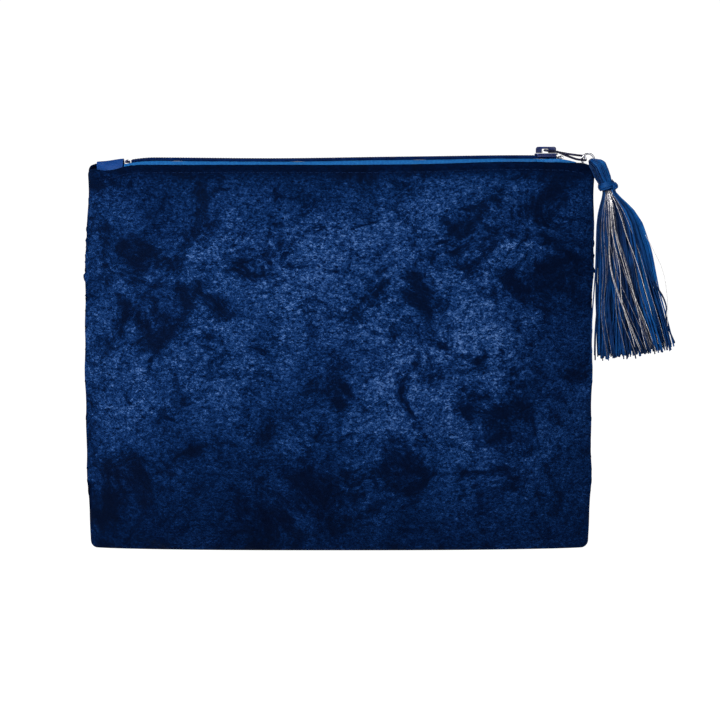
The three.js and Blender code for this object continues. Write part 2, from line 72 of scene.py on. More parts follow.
_, PANEL_HIGH = box_mm("front_panel")
HALF_WIDTH = float(PANEL_HIGH[0])
TOP = float(PANEL_HIGH[2])
GAP = 0.3
CORNER = 3.6
VELVET = 1.2
TAPE = 0.45
LINING = 0.5
SEAM_Y = -2.0
BASE_DEPTH = 8.5
LOW_DEPTH = 12.0
BELLY_DEPTH = 15.4
BELLY_HEIGHT = 62.0
TOP_DEPTH = 5.1
TURN_HEIGHT = 9.0
BASE_RUN = 0.08
TURN_RUN = 0.22
PANEL_STEPS = (260, 200)
CLOTH_STEPS = (120, 92)
CLOTH_FRAMES = 20
CLOTH_CAP = 2.6
GOLDEN_ANGLE = 2.399963
HEAD_YARN = 0.33
INWARD_CAP = 0.5

# the front's folded edge sags, dips beside the end tab and rises near the slider
EDGE_SAG = 0.9
TAB_DIP = 2.8
TAB_DIP_X = -111.0
TAB_DIP_WIDTH = 9.0
EDGE_SWELL = 1.5
EDGE_SWELL_X = 86.0
EDGE_SWELL_WIDTH = 36.0
# the zip sags left of the middle and rises a little before the slider
ZIP_SAG = 0.7
ZIP_SAG_X = -28.0
ZIP_SAG_WIDTH = 45.0
ZIP_SWELL = 0.35
ZIP_SWELL_X = 82.0
ZIP_SWELL_WIDTH = 28.0

TAPE_LOW, TAPE_HIGH = box_mm("front_zip_tape")
COIL_LOW, COIL_HIGH = box_mm("front_coil")
TAPE_Z = 186.1
ZIP_RISE = 0.0035
PARTING_X = 96.0
REJOIN_X = 114.0
PARTING = 1.9
COIL_WIDTH = 1.7
COIL_HEIGHT = 1.5
COIL_PITCH = 1.27
COIL_WIRE = 0.27
COIL_LIFT = 0.0
CORE = 0.36
STITCH_DROP = 3.4
STITCH_PITCH = 3.1
STITCH_LENGTH = 2.5

TAB_LOW, TAB_HIGH = box_mm("left_end_tab")
TAB_THICK = 0.7

RING_LOW, RING_HIGH = box_mm("jump_ring")
RING_CENTRE = (RING_LOW + RING_HIGH) / 2
RING_WIRE = 0.5
RING_RADIUS = float(RING_HIGH[0] - RING_LOW[0]) / 2 - RING_WIRE

JOINTS = {joint["name"]: joint for joint in frame["joints"]}
PIVOT = np.array(JOINTS["pull_flip"]["pos_m"]) / MM
PULL_TILT = math.radians(7.2)
PULL_BEND = 1.3
PULL_ROLL = (math.radians(2), math.radians(20))
PULL_LENGTH = 19.3
PULL_REAR = 2.15
PULL_FAR = 3.3
PULL_WIRE = 0.55

FOLD = np.array(JOINTS["tassel_sway"]["pos_m"]) / MM
BINDING_LOW, BINDING_HIGH = box_mm("tassel_binding")
BINDING_CENTRE = (BINDING_LOW + BINDING_HIGH) / 2
BINDING_RADIUS = 3.9
BINDING_HEIGHT = 4.2
YARN = 0.36
SKIRT_LOW, SKIRT_HIGH = box_mm("tassel_skirt")
SKIRT_Y = float(BINDING_CENTRE[1])
# heights down the skirt, with the x of its middle, its half-width and its half-depth there
SKIRT = np.array([
    [172.4, 128.7, 2.7, 2.6],
    [169.6, 129.5, 3.2, 2.9],
    [166.5, 130.8, 5.6, 3.8],
    [162.0, 132.2, 8.4, 4.7],
    [156.0, 133.6, 10.6, 5.2],
    [143.0, 135.4, 13.0, 5.8],
    [125.0, 137.5, 15.1, 6.4],
    [108.0, 140.1, 17.7, 6.9],
    [90.0, 142.6, 19.9, 7.3],
])


# ---- making meshes ----------------------------------------------------------------------------

def unit(v):
    return v / np.maximum(np.linalg.norm(v, axis=-1, keepdims=True), 1e-12)


def smooth_step(v, low, high):
    t = np.clip((v - low) / (high - low), 0, 1)
    return t * t * (3 - 2 * t)


def mix(a, b, t):
    return a + (b - a) * t


def new_object(name, points, faces, material, smooth=True):
    """A mesh object from points in millimetres."""
    mesh = bpy.data.meshes.new(name)
    mesh.from_pydata((np.asarray(points) * MM).tolist(), [], faces)
    mesh.validate()
    mesh.update()
    mesh.polygons.foreach_set("use_smooth", [smooth] * len(mesh.polygons))
    mesh.materials.append(material)
    piece = bpy.data.objects.new(name, mesh)
    bpy.context.collection.objects.link(piece)
    return piece


def smooth_line(points, count):
    """A smooth line through a few points, as count points spaced evenly along it."""
    points = np.asarray(points, float)
    ends = [2 * points[0] - points[1], 2 * points[-1] - points[-2]]
    p = np.vstack([ends[0], points, ends[1]])
    rows = []
    for i in range(1, len(p) - 2):
        t = np.linspace(0, 1, 24, endpoint=False)[:, None]
        a, b, c, d = p[i - 1], p[i], p[i + 1], p[i + 2]
        rows.append(0.5 * (2 * b + (c - a) * t + (2 * a - 5 * b + 4 * c - d) * t**2
                           + (3 * b - a - 3 * c + d) * t**3))
    fine = np.vstack(rows + [points[-1:]])
    run = np.concatenate([[0], np.cumsum(np.linalg.norm(np.diff(fine, axis=0), axis=1))])
    at = np.linspace(0, run[-1], count)
    return np.stack([np.interp(at, run, fine[:, k]) for k in range(fine.shape[1])], axis=1)


class Strands:
    """Many closed tubes gathered into one mesh, with a tone from 0 to 1 for each tube."""

    def __init__(self):
        self.points = []
        self.faces = []
        self.tones = []
        self.count = 0

    def tube(self, path, radius, sides=6, closed=False, tone=0.5):
        path = np.asarray(path, float)
        n = len(path)
        if closed:
            tangent = unit(np.roll(path, -1, 0) - np.roll(path, 1, 0))
        else:
            tangent = unit(np.gradient(path, axis=0))
        normal = np.empty_like(path)
        seed = np.eye(3)[int(np.argmin(np.abs(tangent[0])))]
        v = seed
        for i in range(n):
            v = v - np.dot(v, tangent[i]) * tangent[i]
            v = v / np.linalg.norm(v)
            normal[i] = v
        binormal = np.cross(tangent, normal)
        twist = np.zeros(n)
        if closed:
            v = v - np.dot(v, tangent[0]) * tangent[0]
            slip = math.atan2(np.dot(v, binormal[0]), np.dot(v, normal[0]))
            twist = -slip * np.arange(n) / n
        angle = twist[:, None] + np.arange(sides)[None, :] * 2 * math.pi / sides
        size = np.broadcast_to(np.asarray(radius, float), (n,))[:, None, None]
        ring = (path[:, None] + size * (np.cos(angle)[..., None] * normal[:, None]
                                        + np.sin(angle)[..., None] * binormal[:, None]))
        index = self.count + np.arange(n * sides).reshape(n, sides)
        after = np.roll(index, -1, 0) if closed else index[1:]
        before = index if closed else index[:-1]
        quads = np.stack([before, np.roll(before, -1, 1), np.roll(after, -1, 1), after], axis=-1)
        self.faces += quads.reshape(-1, 4).tolist()
        if not closed:
            self.faces += [index[0, ::-1].tolist(), index[-1].tolist()]
        self.points.append(ring.reshape(-1, 3))
        self.tones.append(np.full(n * sides, tone))
        self.count += n * sides

    def build(self, name, material):
        piece = new_object(name, np.vstack(self.points), self.faces, material)
        tone = piece.data.attributes.new("tone", "FLOAT", "POINT")
        tone.data.foreach_set("value", np.concatenate(self.tones).astype(np.float32))
        return piece


def shell(name, outer, inner, lip, material):
    """A closed sheet from its outer and inner face (n across x m up), joined at the top by the
    rows of lip and at the other edges directly."""
    n, m = outer.shape[:2]
    loop = np.concatenate([outer, lip, inner[:, ::-1]], axis=1)
    k = loop.shape[1]
    index = np.arange(n * k).reshape(n, k)
    around = np.roll(index, -1, 1)
    quads = np.stack([index[:-1], around[:-1], around[1:], index[1:]], axis=-1)
    faces = quads.reshape(-1, 4).tolist()
    extra = lip.shape[1]
    for row, turned in ((index[0], True), (index[-1], False)):
        side = [[int(row[j]), int(row[j + 1]), int(row[k - 2 - j]), int(row[k - 1 - j])]
                for j in range(m - 1)]
        side.append([int(i) for i in row[m - 1:m + extra + 1]])
        faces += [f[::-1] if turned else f for f in side]
    piece = new_object(name, loop.reshape(-1, 3), faces, material)
    outward(piece)
    return piece


def outward(piece):
    """Turns a closed mesh's faces outward."""
    work = bmesh.new()
    work.from_mesh(piece.data)
    bmesh.ops.recalc_face_normals(work, faces=work.faces)
    work.to_mesh(piece.data)
    work.free()


def refined(node, name, material, bevel=0.0, levels=0):
    """A finer copy of a CAD node: flat faces joined, edges rounded, or the whole subdivided."""
    source = frame["nodes"][node]
    mesh = source.data.copy()
    piece = bpy.data.objects.new(name, mesh)
    bpy.context.collection.objects.link(piece)
    work = bmesh.new()
    work.from_mesh(mesh)
    bmesh.ops.remove_doubles(work, verts=work.verts, dist=1e-6)
    if bevel:
        bmesh.ops.dissolve_limit(work, angle_limit=math.radians(2), verts=work.verts, edges=work.edges)
        sharp = [e for e in work.edges if len(e.link_faces) == 2 and e.calc_face_angle(0) > math.radians(24)]
        bmesh.ops.bevel(work, geom=sharp, offset=bevel * MM, segments=3, profile=0.5, affect="EDGES",
                        clamp_overlap=True)
    bmesh.ops.recalc_face_normals(work, faces=work.faces)
    work.to_mesh(mesh)
    work.free()
    mesh.polygons.foreach_set("use_smooth", [True] * len(mesh.polygons))
    mesh.materials.clear()
    mesh.materials.append(material)
    if levels:
        modifier = piece.modifiers.new("fine", "SUBSURF")
        modifier.levels = levels
        modifier.render_levels = levels
    if bevel:
        mesh.set_sharp_from_angle(angle=math.radians(50))
    return piece


# ---- materials --------------------------------------------------------------------------------

class Finish:
    """A material with its nodes added by type and linked by value."""

    def __init__(self, name):
        self.material = bpy.data.materials.new(name)
        self.material.use_nodes = True
        self.tree = self.material.node_tree
        self.shader = self.tree.nodes["Principled BSDF"]
        self.place = self.node("TexCoord").outputs["Object"]

    def node(self, kind, inputs=None, **settings):
        made = self.tree.nodes.new("ShaderNode" + kind)
        for key, value in settings.items():
            setattr(made, key, value)
        for key, value in (inputs or {}).items():
            if isinstance(value, bpy.types.NodeSocket):
                self.tree.links.new(value, made.inputs[key])
            else:
                made.inputs[key].default_value = value
        return made

    def noise(self, scale, detail=3.0, rough=0.55, bend=0.0, stretch=(1, 1, 1)):
        place = self.node("Mapping", {"Vector": self.place, "Scale": stretch}).outputs[0]
        inputs = {"Vector": place, "Scale": scale, "Detail": detail, "Roughness": rough, "Distortion": bend}
        return self.node("TexNoise", inputs).outputs["Fac"]

    def wave(self, scale, axis, bend=0.0):
        inputs = {"Vector": self.place, "Scale": scale, "Distortion": bend, "Detail": 1.0}
        return self.node("TexWave", inputs, wave_type="BANDS", bands_direction=axis).outputs["Fac"]

    def ranged(self, value, low, high, to_low=0.0, to_high=1.0, smooth=True):
        inputs = {"Value": value, "From Min": low, "From Max": high, "To Min": to_low, "To Max": to_high}
        kind = "SMOOTHSTEP" if smooth else "LINEAR"
        return self.node("MapRange", inputs, interpolation_type=kind).outputs["Result"]

    def math(self, operation, a, b):
        return self.node("Math", {0: a, 1: b}, operation=operation).outputs[0]

    def ramp(self, value, stops):
        made = self.node("ValToRGB", {"Fac": value})
        elements = made.color_ramp.elements
        for position, colour in stops[1:-1]:
            elements.new(position).color = (*colour, 1)
        elements[0].position, elements[0].color = stops[0][0], (*stops[0][1], 1)
        elements[-1].position, elements[-1].color = stops[-1][0], (*stops[-1][1], 1)
        return made.outputs["Color"]

    def attribute(self, name):
        return self.node("Attribute", attribute_name=name).outputs["Fac"]

    def link(self, socket, value):
        self.tree.links.new(value, self.shader.inputs[socket])

    def set(self, **values):
        for key, value in values.items():
            self.shader.inputs[key.replace("_", " ")].default_value = value

    def bump(self, height, distance, strength=1.0):
        inputs = {"Height": height, "Distance": distance, "Strength": strength}
        self.link("Normal", self.node("Bump", inputs).outputs["Normal"])


def crushed_velvet():
    """Short pile that lies in different directions: pale where it leans one way, near black where crushed.
    Painted shade is laid over it: darker towards the bottom, along the top edge and towards both side edges.
    """
    f = Finish("crushed_velvet")
    place = f.node("SeparateXYZ", {0: f.place})
    # painted shade: the velvet darkens towards the bottom, where the cloth turns under, and towards the top
    # edge, where it turns over
    height_shade = f.ramp(f.ranged(place.outputs["Z"], 0, TOP * MM, smooth=False), [
        (0.0, (0.40,) * 3), (0.10, (0.46,) * 3), (0.20, (0.64,) * 3), (0.30, (0.86,) * 3), (0.48, (1.0,) * 3),
        (0.66, (0.96,) * 3), (0.85, (0.82,) * 3), (0.955, (0.62,) * 3), (0.985, (0.14,) * 3)])
    # painted shade: darker towards the right edge and, less strongly, towards the left side
    right = f.ranged(place.outputs["X"], 0.06, HALF_WIDTH * MM, 1.0, 0.62)
    left = f.ranged(place.outputs["X"], -0.075, 0.02, 0.80, 1.0)
    broad = f.ranged(f.noise(15, 3, 0.55, 0.8), 0.3, 0.7, 0.68, 1.28)
    blotch = f.ranged(f.noise(36, 9, 0.74, 0.5), 0.39, 0.53, 0.10, 1.0)
    scuff = f.ranged(f.noise(95, 8, 0.76, 0.9, (0.8, 1, 1.15)), 0.33, 0.49, 0.16, 1.0)
    crease = f.ranged(f.noise(42, 6, 0.7, 2.2, (0.45, 1, 1)), 0.58, 0.68, 1.0, 1.55)
    pile = f.noise(1250, 3, 0.85, 0.7, (0.6, 1, 1))
    tuft = f.noise(520, 4, 0.8, 0.6, (0.65, 1, 1))
    shade = f.math("MULTIPLY", f.math("MULTIPLY", height_shade, broad), f.math("MULTIPLY", blotch, scuff))
    shade = f.math("MULTIPLY", f.math("MULTIPLY", shade, crease), f.math("MULTIPLY", left, right))
    speckle = f.math("MULTIPLY", f.ranged(pile, 0.34, 0.68, 0.05, 2.40, smooth=False),
                     f.ranged(tuft, 0.34, 0.66, 0.45, 1.60, smooth=False))
    lit = f.math("MULTIPLY", f.math("MULTIPLY", shade, speckle), 0.41)
    f.link("Base Color", f.ramp(lit, [
        (0.0, (0.0002, 0.0013, 0.0078)), (0.15, (0.0006, 0.0055, 0.028)), (0.40, (0.0034, 0.0200, 0.086)),
        (0.70, (0.0160, 0.0560, 0.178)), (1.0, (0.0700, 0.1400, 0.320))]))
    f.link("Roughness", f.ranged(blotch, 0.1, 1.0, 0.6, 0.85))
    f.set(Sheen_Weight=0.10, Sheen_Roughness=0.5, Sheen_Tint=(0.03, 0.16, 0.55, 1), Specular_IOR_Level=0.06,
          Specular_Tint=(0.2, 0.4, 1, 1))
    crushed = f.math("MULTIPLY", f.math("ADD", blotch, scuff), 0.3)
    raised = f.math("ADD", f.math("MULTIPLY", pile, 0.6), crushed)
    f.bump(raised, 0.0006, 0.6)
    return f.material


def cloth_finish(name, dark, light, rib, rough, sheen=0.1, bump=0.00012):
    """Plain woven cloth: fine ribs both ways, with a slow change of tone."""
    f = Finish(name)
    across = f.wave(rib, "X", 0.4)
    along = f.wave(rib * 1.1, "Z", 0.4)
    weave = f.math("MULTIPLY", across, along)
    tone = f.math("ADD", f.math("MULTIPLY", weave, 0.45), f.math("MULTIPLY", f.noise(160, 4, 0.6), 0.55))
    f.link("Base Color", f.ramp(tone, [(0.15, dark), (0.75, light)]))
    f.link("Roughness", f.ranged(weave, 0, 1, rough - 0.08, rough + 0.08))
    f.set(Sheen_Weight=sheen, Sheen_Roughness=0.4, Specular_IOR_Level=0.1)
    f.bump(weave, bump, 0.7)
    return f.material


def zip_tape():
    """Ribbed tape: close ribs across its width, and a few bright fibres."""
    f = Finish("zip_tape_weave")
    rib = f.wave(1.0 / (0.62 * MM) / 3.14, "X", 0.6)
    fibre = f.noise(1300, 3, 0.7, 0.2, (1, 1, 0.5))
    tone = f.math("ADD", f.math("MULTIPLY", rib, 0.4), f.math("MULTIPLY", fibre, 0.6))
    f.link("Base Color", f.ramp(tone, [
        (0.15, (0.0008, 0.030, 0.150)), (0.5, (0.0035, 0.090, 0.320)), (0.85, (0.030, 0.230, 0.520))]))
    f.set(Roughness=0.6, Sheen_Weight=0.03, Sheen_Roughness=0.35, Specular_IOR_Level=0.15)
    f.bump(tone, 0.0002, 0.6)
    return f.material


def nylon_coil():
    f = Finish("nylon_coil")
    tone = f.noise(260, 3, 0.6)
    f.link("Base Color", f.ramp(tone, [(0.3, (0.0004, 0.0045, 0.036)), (0.7, (0.0020, 0.0150, 0.085))]))
    f.link("Roughness", f.ranged(f.noise(900, 2), 0.3, 0.7, 0.38, 0.52))
    f.set(Specular_IOR_Level=0.14, Specular_Tint=(0.35, 0.55, 1, 1))
    f.bump(tone, 0.00004, 0.4)
    return f.material


def sewing_thread(name, dark, light):
    """Twisted thread: a slanting ply and a little fluff."""
    f = Finish(name)
    ply = f.wave(700, "DIAGONAL", 1.0)
    tone = f.math("ADD", f.math("MULTIPLY", ply, 0.6), f.math("MULTIPLY", f.noise(1500, 2), 0.4))
    f.link("Base Color", f.ramp(tone, [(0.2, dark), (0.8, light)]))
    f.link("Roughness", f.ranged(ply, 0, 1, 0.6, 0.8))
    f.set(Specular_IOR_Level=0.05, Specular_Tint=(0.35, 0.55, 1, 1))
    f.bump(ply, 0.00006, 0.6)
    return f.material


def gloss_paint():
    f = Finish("slider_gloss_paint")
    worn = f.noise(420, 4, 0.6)
    f.link("Base Color", f.ramp(worn, [
        (0.25, (0.0006, 0.0050, 0.045)), (0.62, (0.0014, 0.0120, 0.085)), (0.8, (0.0060, 0.0300, 0.150))]))
    f.link("Roughness", f.ranged(f.noise(1100, 3), 0.3, 0.7, 0.22, 0.38))
    f.set(Metallic=0.2, Coat_Weight=0.25, Coat_Roughness=0.15, Specular_IOR_Level=0.3)
    f.bump(worn, 0.00003, 0.4)
    return f.material


def plated(name, dark, light, rough):
    f = Finish(name)
    cloud = f.noise(300, 5, 0.65, 0.8)
    scratch = f.noise(2400, 2, 0.6, 0.0, (0.15, 1, 1))
    f.link("Base Color", f.ramp(cloud, [(0.3, dark), (0.7, light)]))
    f.link("Roughness", f.ranged(scratch, 0.3, 0.7, rough, rough + 0.14))
    f.set(Metallic=1.0)
    f.bump(scratch, 0.00002, 0.3)
    return f.material


def yarn(name="rayon_yarn"):
    """Silky yarn: each strand has its own tone, and a fine ply runs along it."""
    f = Finish(name)
    tone = f.attribute("tone")
    ply = f.noise(1700, 2, 0.7, 0.5, (1.2, 1.2, 0.30))
    slow = f.noise(120, 3, 0.6)
    lit = f.math("ADD", f.math("MULTIPLY", tone, 0.55), f.math("MULTIPLY", ply, 0.35))
    lit = f.math("ADD", lit, f.ranged(slow, 0.3, 0.7, -0.08, 0.08))
    f.link("Base Color", f.ramp(lit, [
        (0.10, (0.0003, 0.0030, 0.022)), (0.35, (0.0008, 0.0170, 0.085)), (0.6, (0.0020, 0.0560, 0.215)),
        (0.9, (0.0120, 0.1700, 0.440))]))
    f.link("Roughness", f.ranged(ply, 0.3, 0.7, 0.34, 0.54))
    f.set(Specular_IOR_Level=0.28, Specular_Tint=(0.35, 0.65, 1, 1))
    f.bump(ply, 0.0002, 0.7)
    return f.material


def silver_thread():
    f = Finish("silver_foil_thread")
    tone = f.attribute("tone")
    facet = f.noise(900, 2, 0.6, 0.0, (1, 1, 0.6))
    lit = f.math("ADD", f.math("MULTIPLY", tone, 0.5), f.math("MULTIPLY", facet, 0.5))
    tones = [(0.25, (0.03, 0.035, 0.06)), (0.5, (0.34, 0.33, 0.36)), (0.8, (0.95, 0.91, 0.88))]
    f.link("Base Color", f.ramp(lit, tones))
    f.link("Roughness", f.ranged(facet, 0.3, 0.7, 0.22, 0.45))
    f.set(Metallic=0.75, Specular_IOR_Level=0.6)
    f.bump(facet, 0.0001, 0.5)
    return f.material


VELVET_LOOK = crushed_velvet()
SATIN_LOOK = cloth_finish("navy_satin", (0.0010, 0.0220, 0.125), (0.0070, 0.0720, 0.290), 900, 0.5, 0.02)
LINING_LOOK = cloth_finish("lining_cloth", (0.010, 0.030, 0.090), (0.026, 0.066, 0.165), 800, 0.6)
TAPE_LOOK = zip_tape()
COIL_LOOK = nylon_coil()
THREAD_LOOK = sewing_thread("navy_thread", (0.0005, 0.0030, 0.020), (0.0060, 0.0200, 0.075))
PAINT_LOOK = gloss_paint()
NICKEL_LOOK = plated("bright_nickel", (0.26, 0.26, 0.30), (0.62, 0.62, 0.66), 0.12)
WIRE_LOOK = plated("dark_nickel", (0.010, 0.010, 0.030), (0.060, 0.060, 0.110), 0.20)
YARN_LOOK = yarn()
SILVER_LOOK = silver_thread()


# ---- the bag's surface --------------------------------------------------------------------------

def swell(x, middle, width):
    """A smooth bump, 1 at its middle."""
    return np.exp(-((x - middle) / width) ** 2)


def edge_wave(x):
    """How far the front's folded edge lies above its straight line."""
    dip = TAB_DIP * swell(x, TAB_DIP_X, TAB_DIP_WIDTH)
    return EDGE_SWELL * swell(x, EDGE_SWELL_X, EDGE_SWELL_WIDTH) - EDGE_SAG - dip


def zip_wave(x):
    """How far the zip lies above its straight line."""
    return ZIP_SWELL * swell(x, ZIP_SWELL_X, ZIP_SWELL_WIDTH) - ZIP_SAG * swell(x, ZIP_SAG_X, ZIP_SAG_WIDTH)


def half_width(z):
    to_end = np.clip(np.minimum(z, TOP - z), 0, CORNER)
    return HALF_WIDTH - CORNER + np.sqrt(CORNER**2 - (CORNER - to_end) ** 2)


def edge_height(x):
    past = np.clip(np.abs(x) - (HALF_WIDTH - CORNER), 0, CORNER)
    return TOP - CORNER + np.sqrt(CORNER**2 - past**2)


def wall_depth(z):
    up = np.clip((z - BELLY_HEIGHT) / (TOP - BELLY_HEIGHT), 0, 1)
    down = np.clip((BELLY_HEIGHT - z) / (BELLY_HEIGHT - TURN_HEIGHT), 0, 1)
    above = mix(BELLY_DEPTH, TOP_DEPTH, up**2)
    below = mix(BELLY_DEPTH, LOW_DEPTH, down**2)
    return np.where(z > BELLY_HEIGHT, above, below)


def fullness(side, z):
    away = np.minimum(np.abs(side), 1)
    belly = (1 - away**2.6) ** 0.75
    edge = (1 - away**10) ** 0.6
    return mix(belly, edge, smooth_step(z, 120, TOP))


def run_at(z):
    return mix(TURN_RUN, 1, (z - TURN_HEIGHT) / (TOP - TURN_HEIGHT))


def outer_point(side, run):
    """The outer face of the front: side is -1 to 1 across, run is 0 at the bottom seam to 1 at the edge."""
    side, run = np.broadcast_arrays(np.asarray(side, float), np.asarray(run, float))
    turn = np.clip((run - BASE_RUN) / (TURN_RUN - BASE_RUN), 0, 1) * math.pi / 2
    wall = mix(TURN_HEIGHT, TOP, np.clip((run - TURN_RUN) / (1 - TURN_RUN), 0, 1))
    z = np.where(run < BASE_RUN, 0, np.where(run < TURN_RUN, TURN_HEIGHT * (1 - np.cos(turn)), wall))
    depth = np.where(run < BASE_RUN, BASE_DEPTH * run / BASE_RUN,
                     np.where(run < TURN_RUN, mix(BASE_DEPTH, LOW_DEPTH, np.sin(turn)), wall_depth(wall)))
    y = -(VELVET + GAP / 2) - depth * fullness(side, z)
    return np.stack([side * half_width(z), y, z], axis=-1)


def inside_point(side, run, inside):
    """A point at a distance inside the outer face."""
    step = 1e-3
    right = outer_point(np.minimum(side + step, 1), run)
    left = outer_point(np.maximum(side - step, -1), run)
    above = outer_point(side, np.minimum(run + step, 1))
    below = outer_point(side, np.maximum(run - step, 0))
    inward = unit(np.cross(above - below, right - left))
    return outer_point(side, run) + inward * np.asarray(inside)[..., None]


def grid(across, up, top_run=1.0):
    """Sides and runs of a grid, finer towards its edges."""
    u = np.linspace(0, 1, across + 1)
    v = np.linspace(0, 1, up + 1)
    side = np.sin((u - 0.5) * 0.98 * math.pi) / math.sin(0.49 * math.pi)
    run = top_run * mix(v, 0.5 - 0.5 * np.cos(v * math.pi), 0.45)
    return np.meshgrid(side, run, indexing="ij")


def base_strip(points, side, run, front, deep):
    """Lays the strip under the bag flat, between the bottom seam and the front or back edge."""
    full = fullness(side, 0)
    start = (-SEAM_Y if front else SEAM_Y) * full + GAP / 2
    end = BASE_DEPTH * full + VELVET + GAP / 2
    flat = run <= BASE_RUN
    points[..., 1] = np.where(flat, -mix(start, end, run / BASE_RUN), points[..., 1])
    points[..., 2] = np.where(flat, deep, points[..., 2])
    return points


def side_lean(points):
    """The side seams aren't quite straight: the left one leans in above the middle, the right one out."""
    side = np.clip(points[..., 0] / HALF_WIDTH, -1, 1)
    z = points[..., 2]
    left = 2.2 * smooth_step(z, 110, 182) + 1.6 * (1 - smooth_step(z, 4, 60))
    right = 0.9 + 0.5 * smooth_step(z, 100, 184) - 0.9 * (1 - smooth_step(z, 4, 40))
    waver = 0.22 * np.sin(z / 8.7 + 1) + 0.16 * np.sin(z / 3.9 + 2)
    shift = np.where(side < 0, left + waver, right - waver) * np.abs(side) ** 7
    moved = points.copy()
    moved[..., 0] += shift
    return moved


def face_normals(points):
    """Outward normals of a front grid."""
    across = np.gradient(points, axis=0)
    up = np.gradient(points, axis=1)
    return unit(np.cross(across, up))


# ---- cloth simulation -----------------------------------------------------------------------------

def settled(start, pinned, growth, pressure):
    """Inflates a grid of cloth a little with Blender's cloth solver, and returns where it settles."""
    n, m = start.shape[:2]
    index = np.arange(n * m).reshape(n, m)
    quads = np.stack([index[:-1, :-1], index[1:, :-1], index[1:, 1:], index[:-1, 1:]], axis=-1)
    work = new_object("cloth_run", start.reshape(-1, 3), quads.reshape(-1, 4).tolist(), VELVET_LOOK)
    held = work.vertex_groups.new(name="held")
    held.add(index[pinned].tolist(), 1.0, "REPLACE")
    cloth = work.modifiers.new("cloth", "CLOTH")
    cloth.settings.vertex_group_mass = "held"
    cloth.settings.quality = 6
    cloth.settings.mass = 0.25
    cloth.settings.tension_stiffness = 18
    cloth.settings.compression_stiffness = 18
    cloth.settings.shear_stiffness = 6
    cloth.settings.bending_stiffness = 0.6
    cloth.settings.use_pressure = True
    cloth.settings.uniform_pressure_force = pressure
    cloth.settings.shrink_min = -growth
    cloth.settings.effector_weights.gravity = 0
    cloth.point_cache.frame_start = 1
    cloth.point_cache.frame_end = CLOTH_FRAMES
    scene = bpy.context.scene
    for number in range(1, CLOTH_FRAMES + 1):
        scene.frame_set(number)
    result = work.evaluated_get(bpy.context.evaluated_depsgraph_get()).data
    co = np.zeros(n * m * 3)
    result.vertices.foreach_get("co", co)
    bpy.data.objects.remove(work, do_unlink=True)
    scene.frame_set(1)
    return co.reshape(n, m, 3) / MM


def resampled(field, side, run, fine_side, fine_run):
    """A grid of vectors read at the points of a finer grid."""
    rows = side[:, 0]
    columns = run[0]
    out = np.empty((*fine_side.shape, 3))
    for k in range(3):
        up = np.stack([np.interp(fine_run[0], columns, line) for line in field[..., k]])
        out[..., k] = np.stack([np.interp(fine_side[:, 0], rows, line) for line in up.T], axis=1)
    return out


def velvet_settling(front):
    """How far the velvet moves out of its plain shape, on the fine grid."""
    side, run = grid(*CLOTH_STEPS)
    fine_side, fine_run = grid(*PANEL_STEPS)
    start = base_strip(outer_point(side, run), side, run, front, 0)
    pinned = (run <= BASE_RUN * 1.4) | (run > 0.999) | (np.abs(side) > 0.999)
    pinned |= (np.abs(start[..., 2] - (TOP - STITCH_DROP)) < 0.9)
    growth, pressure = (0.016, 3.2) if front else (0.020, 2.6)
    moved = settled(start, pinned, growth, pressure) - start
    length = np.linalg.norm(moved, axis=-1, keepdims=True)
    moved *= CLOTH_CAP * np.tanh(length / CLOTH_CAP) / np.maximum(length, 1e-9)
    fine = resampled(moved, side, run, fine_side, fine_run)
    for _ in range(2):
        fine[1:-1] = (fine[:-2] + 2 * fine[1:-1] + fine[2:]) / 4
        fine[:, 1:-1] = (fine[:, :-2] + 2 * fine[:, 1:-1] + fine[:, 2:]) / 4
    return fine


def dents(x, z, away, phase):
    """Small unevenness of the velvet: ripples from the seams and stitches, and soft hollows."""
    edge = np.exp(-away / 7) * (1 - np.exp(-away / 1.5))
    ripple = 0.42 * edge * np.sin(z / 3.1 + 1.7 * np.sin(z / 17 + phase))
    hollow = 0.30 * np.sin(x / 21 + 2.2 * np.sin(z / 34 + phase)) * np.sin(z / 26 + 1.4 * np.sin(x / 30))
    hollow *= 1 - np.exp(-away / 14)
    from_stitch = z - (TOP - STITCH_DROP)
    pulled = 0.75 + 0.25 * np.cos(2 * math.pi * x / STITCH_PITCH)
    groove = -0.42 * np.exp(-(from_stitch / 0.9) ** 2) * pulled
    pucker = 0.16 * np.exp(-(from_stitch / 4.5) ** 2) * np.sin(2 * math.pi * x / (3 * STITCH_PITCH) + phase)
    roll = 0.38 * np.exp(-((TOP - z - 1.3) / 1.3) ** 2)
    return ripple + hollow + groove + pucker + roll


